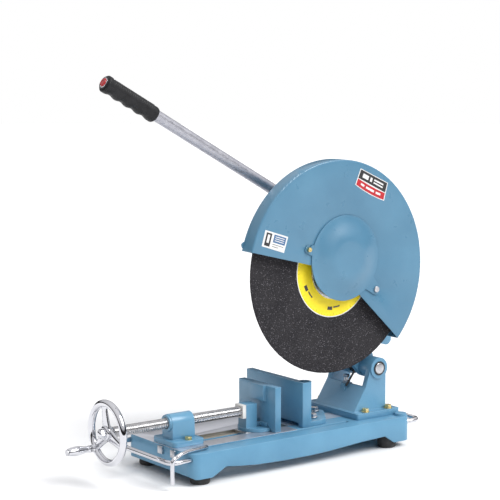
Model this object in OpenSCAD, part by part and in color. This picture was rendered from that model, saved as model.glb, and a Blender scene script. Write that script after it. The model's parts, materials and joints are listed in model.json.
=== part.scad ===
// Abrasive chop saw: a cast base with a quick vise, and a sprung arm that swings down on a rear
// pivot with the guarded abrasive wheel on its near side and a gear motor on its far side.
// X runs from the handwheel end to the pivot end, Z is up, and the near side, with the wheel,
// is -Y. The origin is on the ground, on the centre line of the base, 240 mm before the pivot.

/* [Base] */
// Height of the bed above the ground
bed_z = 62; // [58:1:66]
// Front end of the base
base_front = -252; // [-256:1:-248]
// Rear end of the base
base_rear = 286; // [280:1:296]
// Width of the base
base_w = 224; // [220:1:230]
// Diameter of a rubber foot
foot_d = 39; // [34:1:42]
// Distance between the front and rear feet
foot_span_x = 460; // [456:1:464]
// Distance between the near and far feet
foot_span_y = 172; // [164:1:172]

/* [Wheel] */
// Diameter of the abrasive wheel
wheel_d = 405; // [395:1:405]
// Thickness of the abrasive wheel
wheel_t = 3; // [2.5:0.1:3.2]
// Diameter of the wheel's bore
wheel_bore = 25.4; // [25:0.1:25.4]
// Diameter of the clamping flanges
flange_d = 112; // [100:1:116]

/* [Guard] */
// Outer radius of the wheel guard
guard_r = 217; // [215:1:219]
// Depth of the guard, from its back plate to its face
guard_depth = 30; // [29:0.5:31]
// Radius of the domed hub cover
cover_r = 84; // [80:1:86]

/* [Vise] */
// Diameter of the vise screw
screw_d = 20; // [16:1:20]
// Height of the vise screw above the bed
screw_rise = 40; // [38:1:42]
// Height of both jaws
jaw_h = 88; // [80:1:89]
// Diameter of the handwheel
handwheel_d = 124; // [116:1:126]

/* [Handle] */
// Diameter of the handle tube
tube_d = 22; // [20:0.5:22]
// Length of the handle from its socket to the end of the grip
handle_len = 597; // [580:1:600]
// Slope of the handle above the horizontal
handle_slope = 29; // [28:0.5:30]

/* [Gears] */
// Teeth of the gear on the spindle
gear_teeth = 50; // [50:1:50]
// Teeth of the pinion on the motor shaft
pinion_teeth = 12; // [12:1:12]

/* [Hidden] */
$fn = 96;
running = 0.05;   // radial clearance of a shaft that turns in a bore
gap = 0.4;        // clearance between faces of pieces that move past each other

// Colours
blue = "lightsteelblue";
steel = "silver";
chrome = "gainsboro";
dark = "dimgray";
zinc = "goldenrod";
rubber = "black";

// Axes, as [x, z] places, seen from the near side
pivot = [240, 157];
hub = [109, 369];
hub_y = -74;                      // middle plane of the wheel
gear_module = 2;
gear_distance = gear_module * (gear_teeth + pinion_teeth) / 2;
motor = [hub[0] + gear_distance * cos(20), hub[1] + gear_distance * sin(20)];

// The arm and the gear case
arm_half = 25;                    // half the width of the arm between the ears
case_r = 66;
case_y0 = -30;
case_y1 = 30;
cover_y1 = 38;                    // far face of the gear case cover
boss_y = -59.5;                   // near face of the spindle boss
shaft_r = 10;                     // spindle in its near bearing
far_seat = 19;                    // near face of the spindle's far bearing
seat_r = wheel_bore / 2 - 0.05;   // spindle under the flanges and the wheel

// The wheel and its flanges
wheel_y0 = hub_y - wheel_t / 2;
wheel_y1 = hub_y + wheel_t / 2;
flange_t = 6;
bolt_face = wheel_y0 - flange_t - 7;

// The guard
guard_back = -61;
guard_face = guard_back - guard_depth;
sheet = 1.5;
guard_from = -43.5;
guard_sweep = 209.5;
cover_at = [hub[0] + 15, hub[1] + 25];
cover_back = guard_face - gap;
cover_rise = 15;
cover_pivot = [hub[0] + 94.5, hub[1] - 43.4];
cover_catch = [hub[0] - 77, hub[1] + 48.4];

// The vise
vise_y = -12;
screw_z = bed_z + screw_rise;
jaw_z0 = bed_z + 0.3;
jaw_near = -65;
jaw_far = 53;
fixed_face = 41;
swivel_x = -30;
moving_face = -12;
disc_r = 38;
groove_y = [vise_y - 21, vise_y + 21];
groove_depth = 5;
nut_x = [-240, -190];
handwheel_x = -372;
jaw_pivot = [90, -36];
jaw_clamp = [128, 6];

// The pivot bracket
ear_r = 21.5;
ear_out = 64;
ear_in = 26;
flange_z = 74;
pin_r = 11;

// The handle: its frame starts in the socket, with +Z along the tube
handle_at = [160, 0, 448];
grip_len = 122;
grip_from = handle_len - grip_len;

bail_r = 5;
motor_r = 66;
motor_y1 = 170;                   // far end of the motor housing
end_cap_y = 194;                  // far end of the motor's cap
brush_y = motor_y1 - 18;

// ---- Shared shapes ----

module along_y(at, y0, y1, r, fn = 96) {
    translate([at[0], y1, at[1]]) rotate([90, 0, 0]) cylinder(r = r, h = y1 - y0, $fn = fn);
}

module along_x(y, z, x0, x1, r, fn = 96) {
    translate([x0, y, z]) rotate([0, 90, 0]) cylinder(r = r, h = x1 - x0, $fn = fn);
}

// A flat outline in the XZ plane, made solid from y0 to y1
module slab_y(y0, y1) {
    translate([0, y1, 0]) rotate([90, 0, 0]) linear_extrude(y1 - y0) children();
}

// Outline around two circles, with straight sides a hair inside their tangents
module link(c1, r1, c2, r2) {
    d = norm(c2 - c1);
    a = atan2(c2[1] - c1[1], c2[0] - c1[0]);
    b = acos((r1 - r2) / d);
    s1 = r1 - 0.03;
    s2 = r2 - 0.03;
    translate(c1) circle(r1);
    translate(c2) circle(r2);
    polygon([
        c1 + s1 * [cos(a + b), sin(a + b)], c2 + s2 * [cos(a + b), sin(a + b)],
        c2 + s2 * [cos(a - b), sin(a - b)], c1 + s1 * [cos(a - b), sin(a - b)]
    ]);
}

module round_rect(x0, x1, y0, y1, r) {
    translate([x0 + r, y0]) square([x1 - x0 - 2 * r, y1 - y0]);
    translate([x0, y0 + r]) square([x1 - x0, y1 - y0 - 2 * r]);
    for (x = [x0 + r, x1 - r], y = [y0 + r, y1 - r]) translate([x, y]) circle(r);
}

// A hexagon bolt that points along -Z, with its head above the origin
module hex_bolt(d, length, head, height) {
    cylinder(d = head, h = height, $fn = 6);
    translate([0, 0, -length]) cylinder(d = d, h = length + 0.01);
}

module handle_frame() {
    translate(handle_at) rotate([0, handle_slope - 90, 0]) children();
}

// Involute gear outline: 25 degree pressure angle, short teeth, a little backlash
pressure = 25;
addendum = 0.8 * gear_module;
dedendum = 1.15 * gear_module;
backlash = 0.25;

function involute(rb, r) =
    let (t = sqrt(max(0, (r / rb) * (r / rb) - 1))) t * 180 / PI - atan(t);

function gear_points(z) =
    let (
        rp = gear_module * z / 2,
        rb = rp * cos(pressure),
        half = 90 / z - backlash / 2 / rp * 180 / PI + involute(rb, rp),
        r0 = max(rb, rp - dedendum),
        steps = 4
    )
    [for (i = [0 : z - 1], side = [-1, 1], k = [0 : steps + 1])
        let (
            n = side < 0 ? k : steps + 1 - k,
            r = n == 0 ? rp - dedendum : r0 + (rp + addendum - r0) * (n - 1) / steps,
            a = 360 * i / z + side * (half - involute(rb, max(r, rb)))
        )
        r * [cos(a), sin(a)]];

// ---- Base ----

module leg_outline() {
    polygon([
        [base_front - 1, bed_z], [base_front - 1, 20], [base_front + 9, 14], [-207, 14],
        [-176, 30], [-140, 25.5], [-100, 22], [-40, 20], [30, 20], [75, 21.5], [156, 27],
        [216, 29], [240, 13], [base_rear + 1, 13], [base_rear + 1, bed_z]
    ]);
}

module base_casting() {
    color(blue) difference() {
        union() {
            intersection() {
                linear_extrude(bed_z)
                    round_rect(base_front, base_rear, -base_w / 2, base_w / 2, 20);
                slab_y(-base_w, base_w) leg_outline();
            }
            // Raised corners at the rear, and bosses for the bails
            for (s = [-1, 1])
                translate([base_rear - 16, s * (base_w / 2 - 16), bed_z - 1])
                    cylinder(r = 12, h = 6);
        }
        // The hollow underside, with cross ribs left in it
        for (x = [[base_front + 6, -180], [-172, 32], [40, 160], [168, base_rear - 6]])
            translate([0, 0, -1]) linear_extrude(bed_z - 11 + 1)
                round_rect(x[0], x[1], -base_w / 2 + 6, base_w / 2 - 6, 6);
        // Groove that guides the moving jaw, with a through slot for its clamp stud
        translate([-182, groove_y[0], bed_z - groove_depth])
            cube([214, groove_y[1] - groove_y[0], groove_depth + 1]);
        translate([-172, vise_y - 6.5, bed_z - 20]) cube([198, 13, 21]);
        // Slot that the wheel cuts into
        translate([-186, hub_y - 5, bed_z - 20]) cube([336, 10, 21]);
        // Holes for the bails
        for (y = [-100, 100]) {
            along_x(y, 50, base_front - 1, base_front + 14, bail_r + running);
            along_x(y, 48, base_rear - 14, base_rear + 1, bail_r + running);
        }
        // Holes for the bolts that screw into the bed
        for (p = concat(block_bolts, bracket_places, [jaw_pivot, jaw_clamp]))
            translate([p[0], p[1], bed_z - 15]) cylinder(r = 4.1, h = 16);
        for (y = wall_bolt_y) along_x(y, 53, base_front - 1, base_front + 10, 4.1);
    }
    // Pads that the feet are screwed under
    color(blue) for (p = foot_places)
        translate([p[0], p[1], foot_top(p[0])]) difference() {
            cylinder(r = 15, h = bed_z - 10.5 - foot_top(p[0]));
            translate([0, 0, -1]) cylinder(r = 3.2, h = 16);
        }
}

foot_mid = 12;
foot_places = [for (x = [-1, 1], y = [-1, 1])
    [foot_mid + x * foot_span_x / 2, y * foot_span_y / 2]];
function foot_top(x) = x < 0 ? 18 : 30;
block_bolts = [for (y = [-40, 16]) [-212, y]];
bracket_places = [for (x = [198, 258], y = [-71, 71]) [x, y]];
wall_bolt_y = [-52, -10];

module rubber_feet() {
    color(rubber) for (p = foot_places) {
        h = foot_top(p[0]);
        translate([p[0], p[1], 0]) difference() {
            union() {
                translate([0, 0, 3]) cylinder(d = foot_d, h = h - 3);
                rotate_extrude() {
                    square([foot_d / 2 - 3, 4]);
                    translate([foot_d / 2 - 3, 3]) circle(3, $fn = 32);
                }
            }
            translate([0, 0, -1]) cylinder(r = 7, h = 7);
            translate([0, 0, -1]) cylinder(r = 3.2, h = h + 2);
        }
        // The screw and washer that hold the foot
        color(steel) translate([p[0], p[1], 3]) {
            cylinder(r = 3.1, h = h + 8);
            cylinder(r = 6.5, h = 2.5);
        }
    }
}

// A carrying rail: a straight bar along Y with both ends bent back into the base
module bail(x_in, x_out, z) {
    s = x_out > x_in ? 1 : -1;
    bend = 16;
    y = 100;
    color(chrome) {
        for (m = [-1, 1]) {
            along_x(m * y, z, min(x_in, x_out - s * bend), max(x_in, x_out - s * bend), bail_r);
            translate([x_out - s * bend, m * (y - bend), z])
                rotate([0, 0, s > 0 ? (m > 0 ? 0 : -90) : (m > 0 ? 90 : 180)])
                    rotate_extrude(angle = 90) translate([bend, 0]) circle(bail_r, $fn = 32);
        }
        translate([x_out, y - bend, z]) rotate([90, 0, 0]) cylinder(r = bail_r, h = 2 * (y - bend));
    }
}

module front_bail() { bail(base_front + 13, -292, 50); }
module rear_bail() { bail(base_rear - 13, 318, 48); }

// ---- Vise ----

module nut_block() {
    mid = (nut_x[0] + nut_x[1]) / 2;
    color(blue) difference() {
        union() {
            translate([0, 0, bed_z]) linear_extrude(10)
                round_rect(-250, nut_x[1] + 10, vise_y - 38, vise_y + 38, 9);
            translate([nut_x[0], 0, 0]) rotate([90, 0, 90]) linear_extrude(nut_x[1] - nut_x[0])
                link([vise_y, screw_z], 17, [vise_y, bed_z + 16], 18);
            // Lip around the screw on the front face
            along_x(vise_y, screw_z, nut_x[0] - 4, nut_x[0] + 1, 16);
        }
        translate([-300, -100, 0]) cube([200, 200, bed_z]);
        along_x(vise_y, screw_z, mid - 20, nut_x[1] + 1, 14);
        along_x(vise_y, screw_z, nut_x[0] - 10, nut_x[1] + 1, screw_d / 2 + 0.8);
        for (p = block_bolts) translate([p[0], p[1], bed_z - 1]) cylinder(r = 4.3, h = 30);
        for (p = block_bolts) translate([p[0], p[1], bed_z + 10]) cylinder(r = 9.5, h = 30);
    }
}

module nut_block_bolts() {
    color(zinc) for (p = block_bolts)
        translate([p[0], p[1], bed_z + 10]) hex_bolt(8, 24, 14, 6);
}

module vise_nut() {
    mid = (nut_x[0] + nut_x[1]) / 2;
    color("peru") difference() {
        along_x(vise_y, screw_z, mid - 20, nut_x[1], 14);
        along_x(vise_y, screw_z, mid - 25, nut_x[1] + 5, screw_d / 2 + running);
    }
}

module front_wall_bolts() {
    color(steel) for (y = wall_bolt_y) {
        translate([base_front - 5, y - 7, 46]) cube([5, 14, 14]);
        along_x(y, 53, base_front - 1, base_front + 9, 4);
    }
}

module vise_screw() {
    color(steel) {
        along_x(vise_y, screw_z, handwheel_x + 8, -66.4, screw_d / 2);
        // Reduced end that carries the handwheel
        along_x(vise_y, screw_z, handwheel_x - 14, handwheel_x + 9, 6);
        // Journal and head that turn in the carriage
        along_x(vise_y, screw_z, -67, -46, 7);
        along_x(vise_y, screw_z, -46.5, -42.5, 9.5);
    }
}

module handwheel() {
    rim_r = handwheel_d / 2 - 7;
    color(chrome) translate([handwheel_x, vise_y, screw_z]) rotate([0, 90, 0]) difference() {
        union() {
            rotate_extrude() translate([rim_r, 0]) circle(7, $fn = 40);
            translate([0, 0, -8]) cylinder(r = 14, h = 16);
            for (a = [0, 120, 240]) rotate([0, 0, a + crank_a])
                translate([0, 0, -3.5]) linear_extrude(7)
                    link([0, 0], 9, [rim_r, 0], 6);
            // Flat for the crank handle's pin
            rotate([0, 0, crank_a]) translate([rim_r, 0, -9]) cylinder(r = 7, h = 12);
        }
        translate([0, 0, -20]) cylinder(r = 6.02, h = 40);
        rotate([0, 0, crank_a]) translate([rim_r, 0, -12]) cylinder(r = 4.02, h = 17);
    }
}

module handwheel_nut() {
    color(chrome) translate([handwheel_x - 8, vise_y, screw_z]) rotate([0, -90, 0]) difference() {
        union() {
            cylinder(r = 11, h = 1.6);
            translate([0, 0, 1.6]) cylinder(d = 19, h = 7, $fn = 6);
            translate([0, 0, 8.5]) cylinder(r1 = 7.5, r2 = 4, h = 3.5);
        }
        translate([0, 0, -1]) cylinder(r = 6.02, h = 7.05);
    }
}

crank_a = 49;
crank_r = handwheel_d / 2 - 7;

module crank_pin() {
    color(steel) translate([handwheel_x, vise_y, screw_z]) rotate([0, 90, 0])
        rotate([0, 0, crank_a]) translate([crank_r, 0, 0]) {
            translate([0, 0, -60]) cylinder(r = 4, h = 64);
            translate([0, 0, -62]) cylinder(r = 5.5, h = 2.5);
            translate([0, 0, -12]) cylinder(r = 6.5, h = 2.95);
        }
}

module crank_handle() {
    color(chrome) translate([handwheel_x, vise_y, screw_z]) rotate([0, 90, 0])
        rotate([0, 0, crank_a]) translate([crank_r, 0, 0]) difference() {
            union() {
                translate([0, 0, -59]) cylinder(r = 7, h = 5);
                translate([0, 0, -54]) cylinder(r1 = 7, r2 = 9, h = 10);
                translate([0, 0, -44]) cylinder(r = 9, h = 8);
                translate([0, 0, -36]) cylinder(r1 = 9, r2 = 6, h = 18);
                translate([0, 0, -18]) cylinder(r = 6, h = 5.5);
            }
            translate([0, 0, -70]) cylinder(r = 4 + running, h = 90);
        }
}

module jaw_carriage() {
    color(blue) difference() {
        union() {
            translate([swivel_x, vise_y, bed_z + 0.3]) cylinder(r = disc_r, h = 6.7);
            // Housing that holds the end of the screw
            translate([-66, vise_y - 13, bed_z + 0.3]) cube([26, 26, screw_rise + 13]);
        }
        along_x(vise_y, screw_z, -70, -50, 7 + running);
        along_x(vise_y, screw_z, -50.2, -30, 10);
        translate([swivel_x, vise_y, bed_z - 1]) cylinder(r = 6.02, h = 8.5);
    }
}

module screw_collar() {
    color("white") difference() {
        translate([-74, vise_y - 13, screw_z - 13]) cube([8, 26, 26]);
        along_x(vise_y, screw_z, -80, -60, screw_d / 2 + running);
    }
}

module guide_block() {
    color(steel) difference() {
        union() {
            translate([-72, groove_y[0] + gap, bed_z - groove_depth + 0.3])
                cube([56, groove_y[1] - groove_y[0] - 2 * gap, groove_depth]);
            // Neck through the bed, and the foot that holds the slide down
            translate([-62, vise_y - 6, bed_z - 14]) cube([39, 12, 10]);
            translate([-62, vise_y - 14, bed_z - 16.5]) cube([39, 28, 5]);
        }
        translate([swivel_x, vise_y, bed_z - 30]) cylinder(r = 6.02, h = 40);
    }
}

module swivel_pin() {
    color(steel) {
        translate([swivel_x, vise_y, bed_z - 17]) cylinder(r = 6, h = 31.5);
        translate([swivel_x, vise_y, bed_z - 19.6]) cylinder(r = 8.5, h = 3);
    }
}

module moving_jaw() {
    back = moving_face - 14;
    foot_z = bed_z + 7.3;
    color(blue) difference() {
        union() {
            translate([back, jaw_near, bed_z + 0.4]) cube([14, jaw_far - jaw_near, jaw_h]);
            // Thicker middle of the plate, above the screw housing
            translate([back - 7, vise_y - 24, bed_z + 58]) cube([9, 48, jaw_h - 57.6]);
            // Foot that sits on the carriage's disc, and its boss around the swivel pin
            translate([swivel_x, vise_y, foot_z]) {
                cylinder(r = 9.4, h = 8);
                intersection() {
                    cylinder(r = 30, h = 8);
                    translate([1, -40, -1]) cube([40, 80, 20]);
                }
            }
        }
        // Room for the disc under the plate
        translate([swivel_x, vise_y, bed_z - 1]) cylinder(r = disc_r + 0.5, h = 8.3);
        translate([swivel_x, vise_y, bed_z]) cylinder(r = 6 + running, h = 20);
        translate([moving_face, -100, bed_z]) cube([60, 200, 100]);
    }
}

module fixed_jaw() {
    color(blue) difference() {
        union() {
            translate([fixed_face, jaw_near - 1, jaw_z0]) cube([14, 183, jaw_h + 1]);
            // Rounded post at the near end
            translate([fixed_face + 14, jaw_near - 1, jaw_z0]) cube([2, 29, jaw_h + 1]);
            translate([fixed_face + 15, jaw_near + 13.5, jaw_z0]) cylinder(r = 14.2, h = jaw_h + 1);
            // Foot with the pivot and the clamp slot
            translate([0, 0, jaw_z0]) linear_extrude(9) {
                link(jaw_pivot, 26, jaw_clamp, 19);
                link(jaw_clamp, 19, slot_end, 17);
                translate([fixed_face + 14, jaw_near + 1]) square([35, 100]);
            }
            // Gussets behind the plate
            for (y = [-20, 45, 100]) slab_y(y - 4, y + 4)
                polygon([[54, jaw_z0], [54, jaw_z0 + 70], [60, jaw_z0 + 70], [76, jaw_z0 + 9],
                    [76, jaw_z0]]);
            translate([50, 36, jaw_z0]) cube([26, 70, 9]);
        }
        // Undercut that the carriage's disc slides into
        translate([fixed_face - 1, vise_y - disc_r - 3, bed_z]) cube([15, 2 * disc_r + 6, 8.6]);
        // Cored hole in the top of the post
        translate([fixed_face + 15.5, jaw_near + 13.5, jaw_z0 + jaw_h - 60]) cylinder(r = 10.5, h = 70);
        translate([jaw_pivot[0], jaw_pivot[1], bed_z - 1]) cylinder(r = 5 + running, h = 20);
        // Slot for the clamp bolt, an arc about the pivot
        translate([jaw_pivot[0], jaw_pivot[1], bed_z - 1]) linear_extrude(20) slot_arc();
    }
}

clamp_r = norm(jaw_clamp - jaw_pivot);
clamp_a = atan2(jaw_clamp[1] - jaw_pivot[1], jaw_clamp[0] - jaw_pivot[0]);
slot_end = jaw_pivot + clamp_r * [cos(clamp_a + 31), sin(clamp_a + 31)];

// The clamp bolt stays in the bed, so the slot runs the way the foot does not turn
module slot_arc() {
    w = 5.6;
    intersection() {
        difference() {
            circle(clamp_r + w);
            circle(clamp_r - w);
        }
        polygon([[0, 0], 100 * [cos(clamp_a - 1), sin(clamp_a - 1)],
            100 * [cos(clamp_a + 31), sin(clamp_a + 31)]]);
    }
    for (a = [clamp_a - 1, clamp_a + 31]) translate(clamp_r * [cos(a), sin(a)]) circle(w - 0.05);
}

module fixed_jaw_bolts() {
    color(steel) for (p = [jaw_pivot, jaw_clamp])
        translate([p[0], p[1], jaw_z0 + 9.3]) {
            cylinder(r = 10, h = 2);
            translate([0, 0, 2]) cylinder(d = 17, h = 6.4, $fn = 6);
            translate([0, 0, -9.4]) cylinder(r = 5, h = 9.5);
            translate([0, 0, -24]) cylinder(r = 4, h = 15);
        }
}

// ---- Pivot ----

module pivot_bracket() {
    color(blue) difference() {
        union() {
            translate([0, 0, bed_z]) linear_extrude(flange_z - bed_z)
                round_rect(168, 280, -82, 82, 5);
            for (s = [-1, 1]) {
                y0 = s < 0 ? -ear_out + 3 : ear_out - 15;
                slab_y(y0, y0 + 12) {
                    polygon([pivot + [-ear_r * 0.85, ear_r * 0.4], [208, 122],
                        [173, bed_z + 6], [260, bed_z + 6], [260, 150], pivot + [5, 5]]);
                }
                along_y(pivot, s < 0 ? -ear_out : ear_in, s < 0 ? -ear_in : ear_out, ear_r);
            }
            // Slanted web between the ears, with a thick top edge
            slab_y(-ear_out + 4, ear_out - 4)
                polygon([[172, bed_z + 5], [207, 121], [212, 121], [212, 113], [183, bed_z + 5]]);
            // Seat for the stop bolt
            translate([196, -7, 101]) cube([22, 14, 20]);
        }
        along_y(pivot, -100, 100, pin_r + 0.02);
        for (p = bracket_places) translate([p[0], p[1], bed_z - 1]) cylinder(r = 4.3, h = 20);
        translate([207, 0, 90]) cylinder(r = 4.02, h = 60);
    }
}

module bracket_bolts() {
    color(zinc) for (p = bracket_places)
        translate([p[0], p[1], flange_z]) {
            cylinder(r = 8.5, h = 1.6);
            translate([0, 0, 1.6]) hex_bolt(8, 26, 14, 6);
        }
}

module pivot_pin() {
    color(steel) along_y(pivot, -ear_out - 2, ear_out + 2, pin_r);
}

module pin_rings() {
    color(dark) for (y = [-ear_out - 1.6, ear_out + 0.1]) difference() {
        along_y(pivot, y, y + 1.5, pin_r + 3);
        along_y(pivot, y - 1, y + 3, pin_r + 0.02);
    }
}

// Helical path of the torsion spring's wire, with straight legs down to the web
wire_r = 2.2;
coil_r = 17.5;
coil_turns = 4.25;
coil_y = 10;
leg_len = 42;

function coil_point(t) =
    let (a = 205 - 360 * coil_turns * t)
    [pivot[0] + coil_r * cos(a), -coil_y + 2 * coil_y * t, pivot[1] + coil_r * sin(a)];

spring_path = concat(
    [coil_point(0) + leg_len * [-0.62, 0, -0.78]],
    [for (i = [0 : 68]) coil_point(i / 68)],
    [coil_point(1) + 8 * [-0.3, 0, 0.95]]
);

function unit(v) = v / norm(v);
function along(path, i) =
    unit(path[min(i + 1, len(path) - 1)] - path[max(i - 1, 0)]);

// A closed tube of even radius swept along a path
module tube(path, r, sides) {
    rings = [for (i = [0 : len(path) - 1])
        let (t = along(path, i), u = unit(cross(t, [0.02, 1, 0.03])), v = cross(t, u))
        [for (k = [0 : sides - 1])
            path[i] + r * (cos(360 * k / sides) * u + sin(360 * k / sides) * v)]];
    n = len(path);
    polyhedron(
        [for (ring = rings) for (p = ring) p],
        concat(
            [[for (k = [0 : sides - 1]) k]],
            [for (i = [0 : n - 2], k = [0 : sides - 1])
                let (m = (k + 1) % sides)
                [i * sides + m, i * sides + k, (i + 1) * sides + k, (i + 1) * sides + m]],
            [[for (k = [sides - 1 : -1 : 0]) (n - 1) * sides + k]]
        )
    );
}

module return_spring() { color(rubber) tube(spring_path, wire_r, 8); }

module stop_bolt() {
    color(steel) translate([207, 0, 0]) {
        translate([0, 0, 102]) cylinder(r = 4, h = 31);
        translate([0, 0, 132.6]) cylinder(d = 13, h = 6, $fn = 6);
    }
}

module stop_nut() {
    color(steel) translate([207, 0, 121.2]) difference() {
        cylinder(d = 14, h = 5, $fn = 6);
        translate([0, 0, -1]) cylinder(r = 4.02, h = 8);
    }
}

module wheel_wrench() {
    color(chrome) tube([
        [-205, -92, bed_z + 5.2], [-252, -96, bed_z + 4.6], [-268, -98.8, bed_z + 2.6],
        [-279, -101.2, bed_z - 0.8], [-287, -103.2, bed_z - 2.6], [-290.6, -104, bed_z - 6.5],
        [-291.4, -104.3, bed_z - 13], [-291.4, -104.3, 12]
    ], 4, 16);
}

// ---- Arm ----

module arm_outline() {
    link(pivot, 23, hub, case_r - 2);
    link([205, 262], 40, [293, 207], 13);
}

module arm_casting() {
    color(blue) difference() {
        union() {
            slab_y(-arm_half, arm_half) arm_outline();
            slab_y(case_y0, case_y1) link(hub, case_r, motor, 34);
            along_y(hub, boss_y, case_y0 + 1, 34);
            // Socket for the handle, on a web above the gear case
            handle_frame() translate([0, 0, -12]) cylinder(r = 18, h = 92);
            slab_y(-9, 9)
                polygon([[172, 436], [92, 482], [70, 420], [150, 380]]);
        }
        // Slot between the pivot lugs, where the spring sits
        along_y(pivot, -13, 13, 37);
        // Gear chamber, open on the far side
        along_y(hub, -22, case_y1 + 1, 57);
        along_y(motor, -22, case_y1 + 1, 18);
        // Lightening pockets in the arm, on both sides
        for (y = [-arm_half - 1, 8])
            slab_y(y, y + 18) link([205, 225], 12, [172, 285], 16);
        // Bearing seat and shaft hole of the spindle
        along_y(hub, -50, -20, 23.5 + 0.02);
        along_y(hub, boss_y - 1, -40, 17);
        // Bushing seats of the pivot
        along_y(pivot, -arm_half - 1, arm_half + 1, 14 + 0.02);
        handle_frame() translate([0, 0, -8]) cylinder(r = tube_d / 2 + 0.02, h = 100);
        for (s = [20, 60]) handle_frame() translate([0, 0, s]) rotate([90, 0, 0])
            cylinder(r = 3.1, h = 60, center = true);
    }
}

module arm_bushings() {
    color("peru") for (y = [-arm_half, 13]) difference() {
        along_y(pivot, y, y + arm_half - 13, 14);
        along_y(pivot, y - 1, y + 20, pin_r + running);
    }
}

module cover_outline() {
    link(hub, case_r, motor, motor_r + 2);
}

module gear_case_cover() {
    color(blue) difference() {
        union() {
            slab_y(case_y1, cover_y1) cover_outline();
            // Seat of the spindle's far bearing, inside the gear case
            along_y(hub, far_seat, case_y1 + 1, 24);
            along_y(motor, cover_y1 - 1, cover_y1 + 14, 21);
        }
        along_y(hub, far_seat - 1, case_y1, 17.5 + 0.02);
        along_y(motor, case_y1 - 1, cover_y1 + 1, 9);
        along_y(motor, cover_y1, cover_y1 + 20, 16 + 0.02);
        for (p = case_screw_places) along_y(p, case_y1 - 1, cover_y1 + 1, 2.7);
    }
}

case_screw_places = [for (a = [100 : 50 : 300]) hub + (case_r - 5) * [cos(a), sin(a)]];

module gear_case_screws() {
    color(steel) for (p = case_screw_places) {
        along_y(p, case_y1 + 0.5, cover_y1 + 0.1, 2.5);
        along_y(p, cover_y1, cover_y1 + 4.5, 4.5);
    }
}

// A ball bearing: two rings and a row of balls between them
module bearing(at, y0, width, inner, outer, balls) {
    mid = (inner + outer) / 2;
    ball = (outer - inner) * 0.27;
    race = ball + running;
    difference() {
        along_y(at, y0, y0 + width, outer);
        along_y(at, y0 - 1, y0 + width + 1, mid + race);
    }
    difference() {
        along_y(at, y0, y0 + width, mid - race);
        along_y(at, y0 - 1, y0 + width + 1, inner);
    }
    for (i = [0 : balls - 1])
        translate([at[0] + mid * cos(360 * i / balls), y0 + width / 2,
            at[1] + mid * sin(360 * i / balls)]) sphere(ball, $fn = 24);
}

module spindle_bearings() {
    color(steel) {
        bearing(hub, -49.5, 14, shaft_r + running, 23.5, 8);
        bearing(hub, far_seat, 11, 7.5 + running, 17.5, 8);
    }
}

module motor_housing() {
    color(blue) difference() {
        union() {
            along_y(motor, cover_y1, motor_y1, motor_r);
            // Raised bands at both ends
            along_y(motor, cover_y1, cover_y1 + 8, motor_r + 3);
            along_y(motor, motor_y1 - 9, motor_y1, motor_r + 3);
            // Brush holder bosses
            for (s = [-1, 1]) translate([motor[0] + s * 50, brush_y, motor[1]]) rotate([0, s * 90, 0])
                cylinder(r = 12, h = 22);
        }
        along_y(motor, cover_y1 - 1, motor_y1 + 1, motor_r - 4);
        for (s = [-1, 1]) translate([motor[0] + s * 30, brush_y, motor[1]]) rotate([0, s * 90, 0])
            cylinder(r = 8.02, h = 60);
        // Cooling slots low on the fan end and around the brush end
        for (a = [200 : 14 : 340]) translate([motor[0], 58, motor[1]]) rotate([0, -a, 0])
            translate([motor_r - 8, -8, -2.5]) cube([20, 16, 5]);
        translate([motor[0] + 10, 120, motor[1] - motor_r - 5]) cylinder(r = 7.02, h = 15);
    }
}

module motor_stator() {
    color("slategray") difference() {
        along_y(motor, 84, 128, motor_r - 4.05);
        along_y(motor, 80, 135, 35);
        for (a = [0, 180]) translate([motor[0], 0, motor[1]]) rotate([0, a + 90, 0])
            translate([34, 80, -14]) cube([16, 52, 28]);
    }
    color("peru") for (a = [0, 180]) translate([motor[0], 0, motor[1]]) rotate([0, a + 90, 0])
        translate([38, 76, -13]) cube([10, 58, 26]);
}

module motor_end_cap() {
    color(blue) difference() {
        union() {
            along_y(motor, motor_y1, motor_y1 + 6, motor_r + 3);
            along_y(motor, motor_y1, end_cap_y - 8, motor_r - 2);
            translate([motor[0], end_cap_y - 8.01, motor[1]]) rotate([-90, 0, 0])
                cylinder(r1 = motor_r - 2, r2 = motor_r - 16, h = 8);
        }
        along_y(motor, motor_y1 - 1, motor_y1 + 4, motor_r - 8);
        along_y(motor, motor_y1 + 1, end_cap_y - 6, 16 + 0.02);
        for (a = [30 : 60 : 330]) translate([motor[0], 0, motor[1]]) rotate([0, -a, 0])
            translate([26, motor_y1, -3]) cube([26, 60, 6]);
        for (p = motor_screw_places) along_y(p, motor_y1 - 1, motor_y1 + 40, 2.7);
        for (p = motor_screw_places) along_y(p, motor_y1 + 6, motor_y1 + 40, 4.7);
    }
}

motor_screw_places = [for (a = [0 : 90 : 270]) motor + (motor_r - 1) * [cos(a), sin(a)]];

module motor_screws() {
    color(steel) for (p = motor_screw_places) {
        along_y(p, motor_y1 + 0.1, motor_y1 + 6.1, 2.5);
        along_y(p, motor_y1 + 6, motor_y1 + 10, 4.5);
    }
}

module brush_holders() {
    color(rubber) for (s = [-1, 1])
        translate([motor[0] + s * 24, brush_y, motor[1]]) rotate([0, s * 90, 0]) {
            difference() {
                cylinder(r = 8, h = 50);
                translate([0, 0, -1]) cylinder(r = 5.2, h = 44);
            }
            translate([0, 0, 48.01]) cylinder(r = 9.5, h = 4);
        }
}

module carbon_brushes() {
    color(dark) for (s = [-1, 1])
        translate([motor[0] + s * 18.4, brush_y, motor[1]]) rotate([0, s * 90, 0])
            translate([-3.5, -3.5, 0]) cube([7, 7, 26]);
}

module armature_bearings() {
    color(steel) {
        bearing(motor, cover_y1 + 2, 10, 6 + running, 16, 7);
        bearing(motor, end_cap_y - 18, 10, 6 + running, 16, 7);
    }
}

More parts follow.
